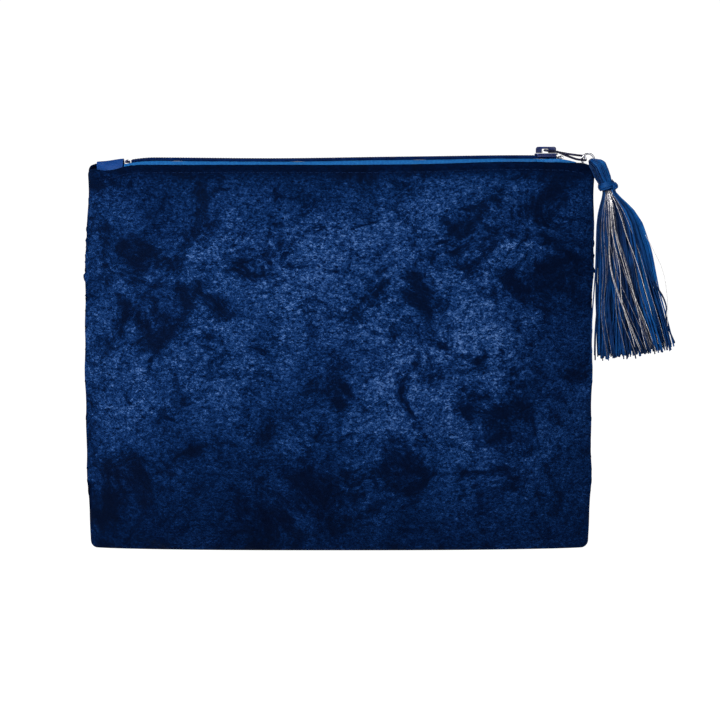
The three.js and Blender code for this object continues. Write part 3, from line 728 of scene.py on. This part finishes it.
class VelvetPanel:
    """One half of the bag: its outer grid, its normals and the mesh made from them."""

    def __init__(self, front):
        self.front = front
        self.side, self.run = grid(*PANEL_STEPS)
        plain = base_strip(outer_point(self.side, self.run), self.side, self.run, front, 0)
        normal = face_normals(plain)
        settled_by = velvet_settling(front)
        inward = np.minimum(np.sum(settled_by * normal, axis=-1, keepdims=True), 0)
        moved = plain + settled_by - normal * (inward + INWARD_CAP * np.tanh(-inward / INWARD_CAP))
        away = HALF_WIDTH * (1 - np.abs(self.side))
        level = dents(plain[..., 0], plain[..., 2], away, 0.6 if front else 2.9)
        level *= smooth_step(self.run, BASE_RUN, TURN_RUN) * smooth_step(away, 0, 3)
        moved += normal * level[..., None]
        if front:
            moved[..., 2] += edge_wave(plain[..., 0]) * smooth_step(plain[..., 2], 140, TOP - 3)
        moved[..., 2] = np.maximum(moved[..., 2], 0)
        outside = np.minimum(moved[..., 1], -GAP / 2 - VELVET)
        moved[..., 1] = np.where(self.run > BASE_RUN, outside, moved[..., 1])
        self.outer = side_lean(moved)
        self.normal = face_normals(self.outer)

    def mesh(self, name):
        thick = VELVET * (1 - 0.2 * smooth_step(self.run, 0.985, 1))
        inner = self.outer - self.normal * thick[..., None]
        inner[..., 1] = np.where(self.run > BASE_RUN, np.minimum(inner[..., 1], -GAP / 2), inner[..., 1])
        start, end = self.outer[:, -1], inner[:, -1]
        middle, across = (start + end) / 2, (start - end) / 2
        rise = np.array([0, 0, 1.0]) * np.linalg.norm(across, axis=-1, keepdims=True) * 0.9
        angles = np.linspace(0, math.pi, 7)[1:-1]
        lip = np.stack([middle + across * math.cos(a) + rise * math.sin(a) for a in angles], axis=1)
        piece = shell(name, self.turned(self.outer), self.turned(inner), self.turned(lip), VELVET_LOOK)
        return piece

    def turned(self, points):
        return points if self.front else points * np.array([1, -1, 1])

    def at(self, x, z, lift):
        """Points on the wall at given x and z, lifted off the velvet."""
        run = run_at(z)
        side = x / half_width(z)
        where = [np.interp(side, self.side[:, 0], np.arange(len(self.side))),
                 np.interp(run, self.run[0], np.arange(self.run.shape[1]))]
        i, j = (np.clip(w.astype(int), 0, n - 2) for w, n in zip(where, self.side.shape))
        a, b = where[0] - i, where[1] - j
        weights = [((1 - a) * (1 - b), i, j), (a * (1 - b), i + 1, j),
                   ((1 - a) * b, i, j + 1), (a * b, i + 1, j + 1)]
        spot = sum(w[..., None] * self.outer[p, q] for w, p, q in weights)
        out = unit(sum(w[..., None] * self.normal[p, q] for w, p, q in weights))
        return self.turned(spot + out * np.asarray(lift)[..., None])


def lining(front, name):
    """A thin lining inside a panel, with soft wrinkles, sewn over the hidden edge of the tape."""
    side, run = grid(110, 90, run_at(181.0))
    side = side * 0.975
    z = outer_point(side, run)[..., 2]
    depth = VELVET + 2 * GAP + TAPE + 0.25 * smooth_step(z, 170, 178)
    wrinkle = 0.5 + 0.5 * np.sin(side * 23 + 2.5 * np.sin(z / 19)) * np.sin(z / 12 + 2 * np.sin(side * 9))
    free = smooth_step(z, 12, 40) * (1 - smooth_step(z, 150, 176)) * (1 - np.abs(side) ** 6)
    depth = depth + 0.7 * wrinkle * free
    rows = []
    for deep in (depth, depth + LINING):
        points = inside_point(side, run, deep)
        points[..., 1] = np.minimum(points[..., 1], -GAP / 2 - (depth + LINING - deep))
        rows.append(base_strip(points, side, run, front, deep))
    flip = np.array([1, 1 if front else -1, 1])
    lip = (rows[0][:, -1] + rows[1][:, -1])[:, None] / 2 + np.array([0, 0, 0.25])
    return shell(name, rows[0] * flip, rows[1] * flip, lip * flip, LINING_LOOK)


# ---- the zip -----------------------------------------------------------------------------------------

def tape_height(x):
    left = 2.2 * (np.maximum(-86 - x, 0) / 18) ** 2
    right = 3.6 * (np.maximum(x - 103, 0) / 16.5) ** 2
    return TAPE_Z + ZIP_RISE * x - left - right + zip_wave(x)


def coil_inner(x):
    share = np.clip((x - PARTING_X) / (REJOIN_X - PARTING_X), 0, 1)
    return GAP / 2 + PARTING * np.sin(share * math.pi) ** 2


def tucked_point(x, z, under):
    ease = 0.5 * smooth_step(np.abs(x), 90, 112) + 1.5 * smooth_step(np.abs(x), 109, 115)
    point = inside_point(x / half_width(z), run_at(z), VELVET + GAP + ease + under)
    point[..., 0] = x
    return point


def rounded(rows, times=3):
    """Cuts the corners of each row of points, keeping its ends."""
    for _ in range(times):
        first, second = rows[:, :-1], rows[:, 1:]
        cut = np.stack([0.75 * first + 0.25 * second, 0.25 * first + 0.75 * second], axis=2)
        cut = cut.reshape(rows.shape[0], -1, 3)
        rows = np.concatenate([rows[:, :1], cut[:, 1:-1], rows[:, -1:]], axis=1)
    return rows


def strip_shell(name, rows, thick, material, turned=False):
    """A strip of cloth from rows of points of its middle, thickened in each row's own plane."""
    along = unit(np.gradient(rows, axis=1))
    out = unit(np.cross(along, np.array([1.0, 0, 0])))
    outer = rows + out * thick / 2
    inner = rows - out * thick / 2
    lip = rows[:, -1:] + along[:, -1:] * thick * 0.4
    flip = np.array([1, -1 if turned else 1, 1])
    return shell(name, outer * flip, inner * flip, lip * flip, material)


def tape(front, name):
    x = np.linspace(TAPE_LOW[0], TAPE_HIGH[0], 420)
    ripple = 0.03 * np.sin(x / 2.3) + 0.05 * np.sin(x / 9.1 + (0 if front else 2))
    edge = edge_height(x) + (edge_wave(x) if front else 0)
    points = [tucked_point(x, np.full_like(x, 178.0), TAPE / 2), tucked_point(x, edge - 2.5, TAPE / 2),
              tucked_point(x, edge - 0.3, TAPE / 2)]
    top = tape_height(x) - TAPE / 2 + ripple
    inner = coil_inner(x)
    points.append(np.stack([x, -(inner + COIL_WIDTH + 0.75), top - 0.15], axis=-1))
    points.append(np.stack([x, -(inner + COIL_WIDTH - 0.4), top], axis=-1))
    points.append(np.stack([x, -inner, top], axis=-1))
    return strip_shell(name, rounded(np.stack(points, axis=1)), TAPE, TAPE_LOOK, not front)


def coil(front, name):
    """A coil of nylon wire whose heads hook between those of the other coil where the zip is closed."""
    left, right = COIL_LOW[0] + 0.4, COIL_HIGH[0] - 0.4
    turns = int((right - left) / COIL_PITCH)
    phase = 0.0 if front else 0.5
    t = np.arange(turns * 18 + 1) / 18
    x = left + (t + 0.5 * phase) * COIL_PITCH
    angle = 2 * math.pi * (t + phase)
    closed = 1 - smooth_step(x, PARTING_X - 1, PARTING_X + 3)
    hook = 0.34 * closed
    reach = (COIL_WIDTH + hook) / 2 - COIL_WIRE * 0.6
    middle = coil_inner(x) + COIL_WIDTH - reach
    cos, sin = np.cos(angle), np.sin(angle)
    across = np.sign(cos) * np.abs(cos) ** 0.75
    upward = np.sign(sin) * np.abs(sin) ** 0.85
    y = -(middle - reach * across)
    z = tape_height(x) + COIL_LIFT + COIL_HEIGHT / 2 + (COIL_HEIGHT / 2 - COIL_WIRE) * upward
    heads = 0.16 * COIL_PITCH * np.clip(cos, 0, 1) ** 2
    flip = 1 if front else -1
    strands = Strands()
    strands.tube(np.stack([x + heads, y * flip, z], axis=-1), COIL_WIRE, 7)
    x = np.linspace(left, right, 300)
    for across, lift in ((0.62, 0.40), (1.15, 0.40), (0.62, 1.0), (1.15, 1.0)):
        height = tape_height(x) + COIL_LIFT + lift
        strands.tube(np.stack([x, -(coil_inner(x) + across) * flip, height], axis=-1), CORE, 8)
    return strands.build(name, COIL_LOOK)


def coil_stitching(front, name):
    """Two rows of sewing thread that hold a coil on its tape, dipping between its turns."""
    x = np.linspace(COIL_LOW[0] + 1, COIL_HIGH[0] - 1, 1300)
    beat = np.sin(2 * math.pi * x / COIL_PITCH)
    flip = 1 if front else -1
    strands = Strands()
    for across, lift in ((0.62, 0.04), (1.35, -0.10)):
        y = -(coil_inner(x) + across + 0.07 * np.sign(beat) * np.abs(beat) ** 0.5)
        z = tape_height(x) + COIL_LIFT + COIL_HEIGHT + lift + 0.05 * beat
        strands.tube(np.stack([x, y * flip, z], axis=-1), 0.13, 6)
    return strands.build(name, THREAD_LOOK)


def end_tab(name):
    """The folded strip of smooth cloth over the closed end of the zip."""
    x = np.linspace(TAB_LOW[0], TAB_HIGH[0], 46)
    edge = edge_height(x) - 0.3
    ridge = mix(185.2, 186.75, (x - x[0]) / (x[-1] - x[0])) - TAB_THICK / 2 + 0.08 * np.sin(x / 1.7)
    halves = []
    for sign in (1, -1):
        flip = np.array([1, sign, 1])
        low = tucked_point(x, np.full_like(x, 179.4), TAB_THICK / 2) * flip
        high = tucked_point(x, edge, TAB_THICK / 2) * flip
        shoulder = np.stack([x, np.full_like(x, -1.5 * sign), ridge - 0.1], axis=-1)
        halves.append([low, high, shoulder])
    top = np.stack([x, np.zeros_like(x), ridge + 0.1], axis=-1)
    rows = np.stack(halves[0] + [top] + halves[1][::-1], axis=1)
    return strip_shell(name, rounded(rows), TAB_THICK, SATIN_LOOK)


def topstitching(panel, name):
    """Single stitches along the top, each bedded into the velvet at its ends."""
    strands = Strands()
    rng = random.Random(SEED)
    count = int(2 * 115 / STITCH_PITCH)
    for i in range(count + 1):
        centre = (i - count / 2) * STITCH_PITCH + rng.uniform(-0.15, 0.15)
        t = np.linspace(-0.5, 0.5, 9)
        x = centre + t * STITCH_LENGTH
        level = np.full_like(x, TOP - STITCH_DROP) + rng.uniform(-0.12, 0.12)
        level = level - 1.4 * smooth_step(np.abs(x), 108, 118)
        lift = 0.20 - 1.5 * t**2 * 1.4
        strands.tube(panel.at(x, level, lift), 0.19, 7, tone=rng.random())
    return strands.build(name, THREAD_LOOK)


# ---- the pull and the ring --------------------------------------------------------------------------

def pull_point(along, side):
    """A point of the pull: beyond the slider it drops and rolls, with its front side lower."""
    beyond = float(smooth_step(along, 5, 14))
    roll = mix(*PULL_ROLL, beyond)
    drop = -along * math.sin(PULL_TILT) - PULL_BEND * beyond + side * math.sin(roll)
    return PIVOT + np.array([along * math.cos(PULL_TILT), side * math.cos(roll), drop])


def pull_wire(name):
    middle = (PULL_REAR + PULL_FAR) / 2
    half = [(0, 1), (0.2, PULL_REAR), (1.6, PULL_REAR + 0.1), (PULL_LENGTH * 0.3, PULL_REAR + 0.3),
            (PULL_LENGTH * 0.5, middle), (PULL_LENGTH * 0.75, middle + 0.4), (PULL_LENGTH - 1.5, PULL_FAR),
            (PULL_LENGTH - 0.2, PULL_FAR - 0.2), (PULL_LENGTH, 1.6)]
    corners = [pull_point(s, -y) for s, y in half] + [pull_point(s, y) for s, y in reversed(half)]
    line = smooth_line(corners + corners[:1], 181)[:-1]
    strands = Strands()
    strands.tube(line, PULL_WIRE, 14, closed=True)
    return strands.build(name, WIRE_LOOK)


def split_ring(name):
    angle = math.radians(118) + np.linspace(0.03, 2 * math.pi - 0.03, 120)
    spring = 0.10 * np.cos((angle - angle[0]) / 2)
    points = np.stack([RING_RADIUS * np.cos(angle), spring, RING_RADIUS * np.sin(angle)], axis=-1)
    strands = Strands()
    strands.tube(points + RING_CENTRE, RING_WIRE, 14)
    return strands.build(name, NICKEL_LOOK)


# ---- the tassel ---------------------------------------------------------------------------------------

FLAT_LEAN = (BINDING_CENTRE - FOLD) * np.array([1, 0, 1])
HEAD_LENGTH = float(np.linalg.norm(FLAT_LEAN))
LEAN = FLAT_LEAN / HEAD_LENGTH
ACROSS = np.array([-LEAN[2], 0, LEAN[0]])
NECK = unit(LEAN + np.array([0.12, 0, -1.0]))
NECK_SIDE = np.array([-NECK[2], 0, NECK[0]])


def tassel_head(name):
    """Yarn that comes up in front of the ring, over its wire and down behind it."""
    def at(s, across, y):
        return FOLD * np.array([1, 0, 1]) + LEAN * s + ACROSS * across + np.array([0, y, 0])

    end = HEAD_LENGTH + 1.2
    neck = SKIRT_Y
    front = [at(end, 0, neck - 1.5), at(8.4, 0.4, -4.9), at(5, 0.9, -4.9), at(2.4, 1.3, -4.45),
             at(0, 0.5, -3.75)]
    back = [at(0, 0.5, -0.25), at(2.4, 1.6, 0.3), at(5, 1.1, 0.3), at(8.4, 0.4, -0.4), at(end, 0, neck + 1.5)]
    centre = smooth_line(front + [at(-1.6, 0.1, FOLD[1])] + back, 46)
    t = np.linspace(0, 1, 46)
    away = np.abs(2 * t - 1)
    wide = np.interp(away, (0, 0.08, 0.2, 0.34, 0.55, 0.75, 0.9, 1), (1.3, 2.0, 3.7, 4.2, 4.2, 3.7, 2.8, 2.2))
    wide *= np.where(t > 0.5, 0.78, 1.0)
    deep = np.interp(away, (0, 0.1, 0.3, 0.6, 0.85, 1), (0.85, 1.0, 1.6, 1.7, 1.3, 1.1))
    thick = unit(np.cross(unit(np.gradient(centre, axis=0)), ACROSS))
    rng = random.Random(SEED + 1)
    strands = Strands()
    silver = Strands()
    count = 72
    for i in range(count):
        rho = math.sqrt((i + 0.5) / count)
        phi = i * GOLDEN_ANGLE
        sway = 0.05 * math.cos(i * 1.7)
        a = rho * math.cos(phi) * 0.92 + sway * np.sin(t * 9 + i)
        b = rho * math.sin(phi) * 0.86 + sway * np.cos(t * 7 + i)
        path = centre + ACROSS * (a * wide)[:, None] + thick * (b * deep)[:, None]
        # painted light and shade: strands on the right of the head get a lighter tone and those on the left a
        # darker one, on top of a random tone
        side = a.mean()
        tone = min(1.0, max(0.0, 0.34 + 0.40 * side + rng.uniform(-0.30, 0.30)))
        strands.tube(path, HEAD_YARN, 6, tone=tone)
    for k, (a, b) in enumerate(((0.12, -1.0), (-0.18, -1.02), (0.60, -0.95))):
        drift = 0.22 * np.sin(t * 5 + 2 * k)
        path = centre + ACROSS * ((a + drift) * wide)[:, None] + thick * (-b * (deep + 0.28))[:, None]
        silver.tube(path[:24], 0.13, 6, tone=0.9)
    return strands.build(name, YARN_LOOK), silver.build(name + "_silver", SILVER_LOOK)


def binding(name):
    """Yarn wound round the neck in close turns, with a second layer over part of the first."""
    strands = Strands()
    rng = random.Random(SEED + 2)
    layers = ((BINDING_RADIUS - 0.42, 8, 0.5, -0.46), (BINDING_RADIUS - 0.05, 4, 0.46, -0.25))
    for radius, turns, spacing, start in layers:
        t = np.linspace(0, turns, turns * 40)
        angle = 2 * math.pi * t
        down = start * BINDING_HEIGHT + 0.35 + spacing * 0.82 * t + 0.10 * np.sin(angle + 1)
        reach = radius * (1 + 0.012 * np.sin(angle * 0.37 * 3))
        path = (BINDING_CENTRE + NECK * down[:, None] + NECK_SIDE * (reach * np.cos(angle))[:, None]
                + np.array([0, 1.0, 0]) * (reach * np.sin(angle))[:, None])
        strands.tube(path, HEAD_YARN, 8, tone=rng.uniform(0.40, 0.5))
    return strands.build(name, YARN_LOOK)


def knot(name):
    """The knot of the binding, a small closed tangle at its side."""
    low, high = box_mm("tassel_knot")
    centre = (low + high) / 2 - 0.9 * NECK_SIDE + 0.4 * NECK
    t = np.linspace(0, 2 * math.pi, 140, endpoint=False)
    size = 0.36
    out = 2 + np.cos(3 * t)
    tangle = np.stack([out * np.cos(2 * t), 0.9 * np.sin(3 * t) * 1.6, out * np.sin(2 * t)], axis=-1)
    strands = Strands()
    strands.tube(centre + tangle * size * np.array([0.85, 1, 1.35]), 0.55, 8, closed=True, tone=0.40)
    return strands.build(name, YARN_LOOK)


def skirt_size(z):
    """Middle x, half-width and half-depth of the skirt at heights z."""
    rows = SKIRT[::-1]
    return [np.interp(z, rows[:, 0], rows[:, k]) for k in (1, 2, 3)]


def cut_height(x):
    """Where the yarn is cut: ragged, and higher towards the right."""
    return mix(91.6, 97.6, np.clip((x - SKIRT_LOW[0]) / (SKIRT_HIGH[0] - SKIRT_LOW[0]), 0, 1))


def skirt_strand(across, deep, end, wave, steps=26):
    """A line down the skirt. across and deep are its place in the section, -1 to 1, at each step."""
    t = np.linspace(0, 1, steps)
    z = mix(173.2, end, t ** 1.05)
    middle, wide, thick = skirt_size(z)
    x = middle + across(t) * wide + wave[0] * np.sin(t * wave[1] + wave[2]) * smooth_step(t, 0.1, 0.5)
    y = SKIRT_Y + deep(t) * thick + wave[3] * np.cos(t * wave[1] * 1.3 + wave[2]) * smooth_step(t, 0.1, 0.5)
    return np.stack([x, y, z], axis=-1)


def skirt(name):
    """Locks of yarn that spread down from the neck, with gaps between them."""
    rng = random.Random(SEED + 3)
    strands = Strands()
    locks = 62
    for k in range(locks):
        rho = math.sqrt((k + 0.5) / locks) * 0.93
        phi = k * GOLDEN_ANGLE + 0.4
        lock_x, lock_y = rho * math.cos(phi), rho * math.sin(phi)
        wave = (rng.uniform(0.5, 1.6), rng.uniform(3, 7), rng.uniform(0, 6.28), rng.uniform(0.3, 0.8))
        base_tone = rng.uniform(0.02, 0.70)
        drift = rng.uniform(-0.10, 0.10)
        for _ in range(rng.randint(7, 9)):
            off_x, off_y = rng.gauss(0, 0.062), rng.gauss(0, 0.085)
            bend = rng.uniform(-0.05, 0.05)
            spread = rng.uniform(0.7, 1.25)

            def across(t, x=lock_x, o=off_x, d=drift, b=bend, s=spread):
                return np.clip(x + o * s * (0.5 + t) + d * (t - 0.4) + b * np.sin(t * 4), -1.03, 1.05)

            def deep(t, y=lock_y, o=off_y, s=spread):
                return y + o * s * (0.5 + t)

            foot_x = np.interp(90, SKIRT[::-1, 0], SKIRT[::-1, 1]) + lock_x * SKIRT[-1, 2]
            end = float(cut_height(foot_x)) + rng.gauss(0, 1.0)
            radius = YARN * rng.uniform(0.8, 1.1)
            tone = min(1, max(0, base_tone + rng.uniform(-0.16, 0.16)))
            strands.tube(skirt_strand(across, deep, end, wave), radius, 6, tone=tone)
    loop = [(146.5, -6.2, 134.0), (150.6, -6.4, 127.2), (154.6, -6.0, 121.4), (156.6, -5.6, 116.0),
            (156.5, -5.3, 111.8), (158.2, -5.0, 105.0), (160.9, -4.6, 98.9)]
    for shift in (0.0, 0.55):
        strands.tube(smooth_line(np.array(loop) + shift * np.array([0.2, 1, 0.6]), 40), 0.36, 6, tone=0.10)
    return strands.build(name, YARN_LOOK)


# spots across the front of the skirt (-1 left, 1 right) that a bundle of silver threads runs through,
# from the neck to the cut, with the number of threads and how far they fan out
SILVER_BUNDLES = (
    ((-0.10, -0.20, 0.02, 0.24, 0.44), 6, 0.16),
    ((-0.35, -0.45, -0.45, -0.13, 0.18), 4, 0.12),
    ((-0.60, -0.72, -0.62, -0.74, -0.66), 3, 0.08),
    ((0.10, -0.05, 0.10, 0.30, 0.50), 3, 0.18),
    ((0.30, 0.35, 0.52, 0.62, 0.74), 2, 0.16),
    ((-0.30, -0.40, -0.25, -0.40, -0.20), 3, 0.22),
)


def silver_threads(name):
    rng = random.Random(SEED + 4)
    strands = Strands()
    for spots, count, fan in SILVER_BUNDLES:
        for _ in range(count):
            offset = rng.gauss(0, 0.5) * fan
            swing = rng.uniform(0.4, 1.0) * fan
            turn = rng.uniform(0, 6.28)
            depth = rng.uniform(0.97, 1.08)
            line = smooth_line([[i / 4, s] for i, s in enumerate(spots)], 40)

            def across(t, line=line, o=offset, w=swing, p=turn):
                return np.interp(t, line[:, 0], line[:, 1]) + o + w * 0.5 * np.sin(t * 6 + p)

            def deep(t, across=across, d=depth):
                return -d * np.sqrt(np.clip(1 - across(t) ** 2, 0.05, 1))

            foot = float(SKIRT[-1, 1] + spots[-1] * SKIRT[-1, 2])
            end = float(cut_height(foot)) + rng.gauss(0.6, 1.4)
            wave = (rng.uniform(0.1, 0.4), rng.uniform(4, 9), rng.uniform(0, 6.28), rng.uniform(0.1, 0.3))
            path = skirt_strand(across, deep, end, wave, 36)
            strands.tube(path[1:], rng.uniform(0.09, 0.14), 5, tone=rng.uniform(0.10, 1.0))
    arc = [(146.0, -7.6, 150.5), (149.6, -7.4, 144.0), (154.7, -7.0, 133.0), (157.0, -6.6, 119.0),
           (157.1, -6.3, 107.0)]
    strands.tube(smooth_line(arc, 50), 0.10, 5, tone=0.9)
    return strands.build(name, SILVER_LOOK)


# ---- putting the pieces together ------------------------------------------------------------------------


def follow_mouth(piece):
    """Bakes a front piece's placement into its mesh and reads its points, without moving them."""
    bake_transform(piece)
    count = len(piece.data.vertices)
    co = np.zeros(count * 3)
    piece.data.vertices.foreach_get("co", co)


def settle(piece, body, slot, *nodes):
    """Puts a piece on its body and hides the CAD nodes that it stands for; the slot argument is not used."""
    if body == "mouth":
        follow_mouth(piece)
    else:
        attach(piece, body)
    if nodes:
        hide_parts(*nodes)
    return piece


def make_bag():
    for front in (True, False):
        face = "front" if front else "back"
        body = "mouth" if front else "pouch"
        panel = VelvetPanel(front)
        velvet = settle(panel.mesh(f"velvet_{face}"), body, "velvet", f"{face}_panel")
        inside = settle(lining(front, f"lining_{face}"), body, "lining", f"{face}_lining")
        woven = settle(tape(front, f"tape_{face}"), body, "tape", f"{face}_zip_tape")
        settle(coil(front, f"coil_{face}"), body, "coil", f"{face}_coil")
        settle(coil_stitching(front, f"coil_stitching_{face}"), body, "thread")
        settle(topstitching(panel, f"topstitching_{face}"), body, "thread", f"{face}_topstitch")
    tab = settle(end_tab("end_tab"), "pouch", "satin", "left_end_tab")


def make_metal():
    for node, name, look, bevel, body, slot in (
            ("front_top_stop", "front_top_stop_clip", NICKEL_LOOK, 0.22, "pouch", "nickel"),
            ("back_top_stop", "back_top_stop_clip", NICKEL_LOOK, 0.22, "pouch", "nickel"),
            ("bottom_stop", "bottom_stop_clip", WIRE_LOOK, 0.22, "pouch", "nickel"),
            ("slider_body", "slider_plates", PAINT_LOOK, 0.13, "slider", "slider_paint"),
            ("slider_crown", "slider_bridge", PAINT_LOOK, 0.22, "slider", "slider_paint"),
            ("slider_lock_spring", "lock_spring", NICKEL_LOOK, 0.08, "slider", "nickel")):
        settle(refined(node, name, look, bevel=bevel), body, slot, node)
    settle(pull_wire("pull_wire"), "pull", "wire", "pull_loop")
    settle(split_ring("split_ring"), "ring", "nickel", "jump_ring")


def make_tassel():
    head, silver = tassel_head("tassel_hank")
    settle(head, "tassel", "yarn", "tassel_head")
    settle(silver, "tassel", "metallic_thread")
    settle(binding("tassel_winding"), "tassel", "yarn", "tassel_binding")
    settle(knot("tassel_tie"), "tassel", "yarn", "tassel_knot")
    for piece, slot, node in (
            (skirt("tassel_yarn"), "yarn", "tassel_skirt"),
            (silver_threads("tassel_silver"), "metallic_thread", "tassel_metallic_threads")):
        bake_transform(piece)
        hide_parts(node)


def finish_threads():
    for node in ("left_side_seam_thread", "right_side_seam_thread", "bottom_seam_thread"):
        materials = frame["nodes"][node].data.materials
        materials.clear()
        materials.append(THREAD_LOOK)


# ---- camera, light and floor -----------------------------------------------------------------------------

def look_at(thing, target):
    direction = Vector(target) - thing.location
    thing.rotation_euler = direction.to_track_quat("-Z", "Y").to_euler()


def make_camera():
    target = Vector((0.0107, -0.008, 0.0911))
    elevation = math.radians(4)
    distance = 0.952
    data = bpy.data.cameras.new("camera")
    data.lens = 100
    data.sensor_width = 36
    camera = bpy.data.objects.new("camera", data)
    camera.location = target + distance * Vector((0, -math.cos(elevation), math.sin(elevation)))
    bpy.context.collection.objects.link(camera)
    look_at(camera, target)
    bpy.context.scene.camera = camera


def area_light(name, place, size, power, colour=(1, 1, 1)):
    data = bpy.data.lights.new(name, "AREA")
    data.shape = "DISK"
    data.size = size
    data.energy = power
    data.color = colour
    light = bpy.data.objects.new(name, data)
    light.location = place
    bpy.context.collection.objects.link(light)
    look_at(light, (0.01, 0, 0.09))


def make_studio():
    area_light("key", (-0.8, -1.3, 1.0), 0.6, 34)
    area_light("fill", (0.7, -1.7, 0.6), 0.8, 6)
    area_light("rim", (0.2, 1.3, 1.1), 0.7, 8)
    world = bpy.data.worlds.new("studio")
    world.use_nodes = True
    bpy.context.scene.world = world
    tree = world.node_tree
    background = tree.nodes["Background"]
    paths = tree.nodes.new("ShaderNodeLightPath")
    strength = tree.nodes.new("ShaderNodeMapRange")
    tree.links.new(paths.outputs["Is Camera Ray"], strength.inputs["Value"])
    strength.inputs["To Min"].default_value = 0.14
    strength.inputs["To Max"].default_value = 1.05
    tree.links.new(strength.outputs["Result"], background.inputs["Strength"])
    background.inputs["Color"].default_value = (1, 1, 1, 1)
    corners = np.array([[-1, -1, 0], [1, -1, 0], [1, 1, 0], [-1, 1, 0]]) * 4000
    floor = new_object("floor", corners, [[0, 1, 2, 3]], floor_finish(), smooth=False)
    floor.location.z = -0.0002
    bpy.context.scene.view_settings.view_transform = "Standard"
    bpy.context.scene.view_settings.look = "None"


def floor_finish():
    """A white floor that stays nearly white in the shadow, as under a strong back light."""
    material = bpy.data.materials.new("white_floor")
    material.use_nodes = True
    tree = material.node_tree
    shader = tree.nodes["Principled BSDF"]
    shader.inputs["Base Color"].default_value = (0.86, 0.87, 0.90, 1)
    shader.inputs["Roughness"].default_value = 0.7
    glow = tree.nodes.new("ShaderNodeEmission")
    glow.inputs["Strength"].default_value = 1.16
    blend = tree.nodes.new("ShaderNodeMixShader")
    paths = tree.nodes.new("ShaderNodeLightPath")
    share = tree.nodes.new("ShaderNodeMath")
    share.operation = "MULTIPLY"
    share.inputs[1].default_value = 0.86
    tree.links.new(paths.outputs["Is Camera Ray"], share.inputs[0])
    tree.links.new(share.outputs[0], blend.inputs["Fac"])
    tree.links.new(shader.outputs[0], blend.inputs[1])
    tree.links.new(glow.outputs[0], blend.inputs[2])
    tree.links.new(blend.outputs[0], tree.nodes["Material Output"].inputs["Surface"])
    return material


make_camera()
make_studio()
make_bag()
make_metal()
make_tassel()
finish_threads()
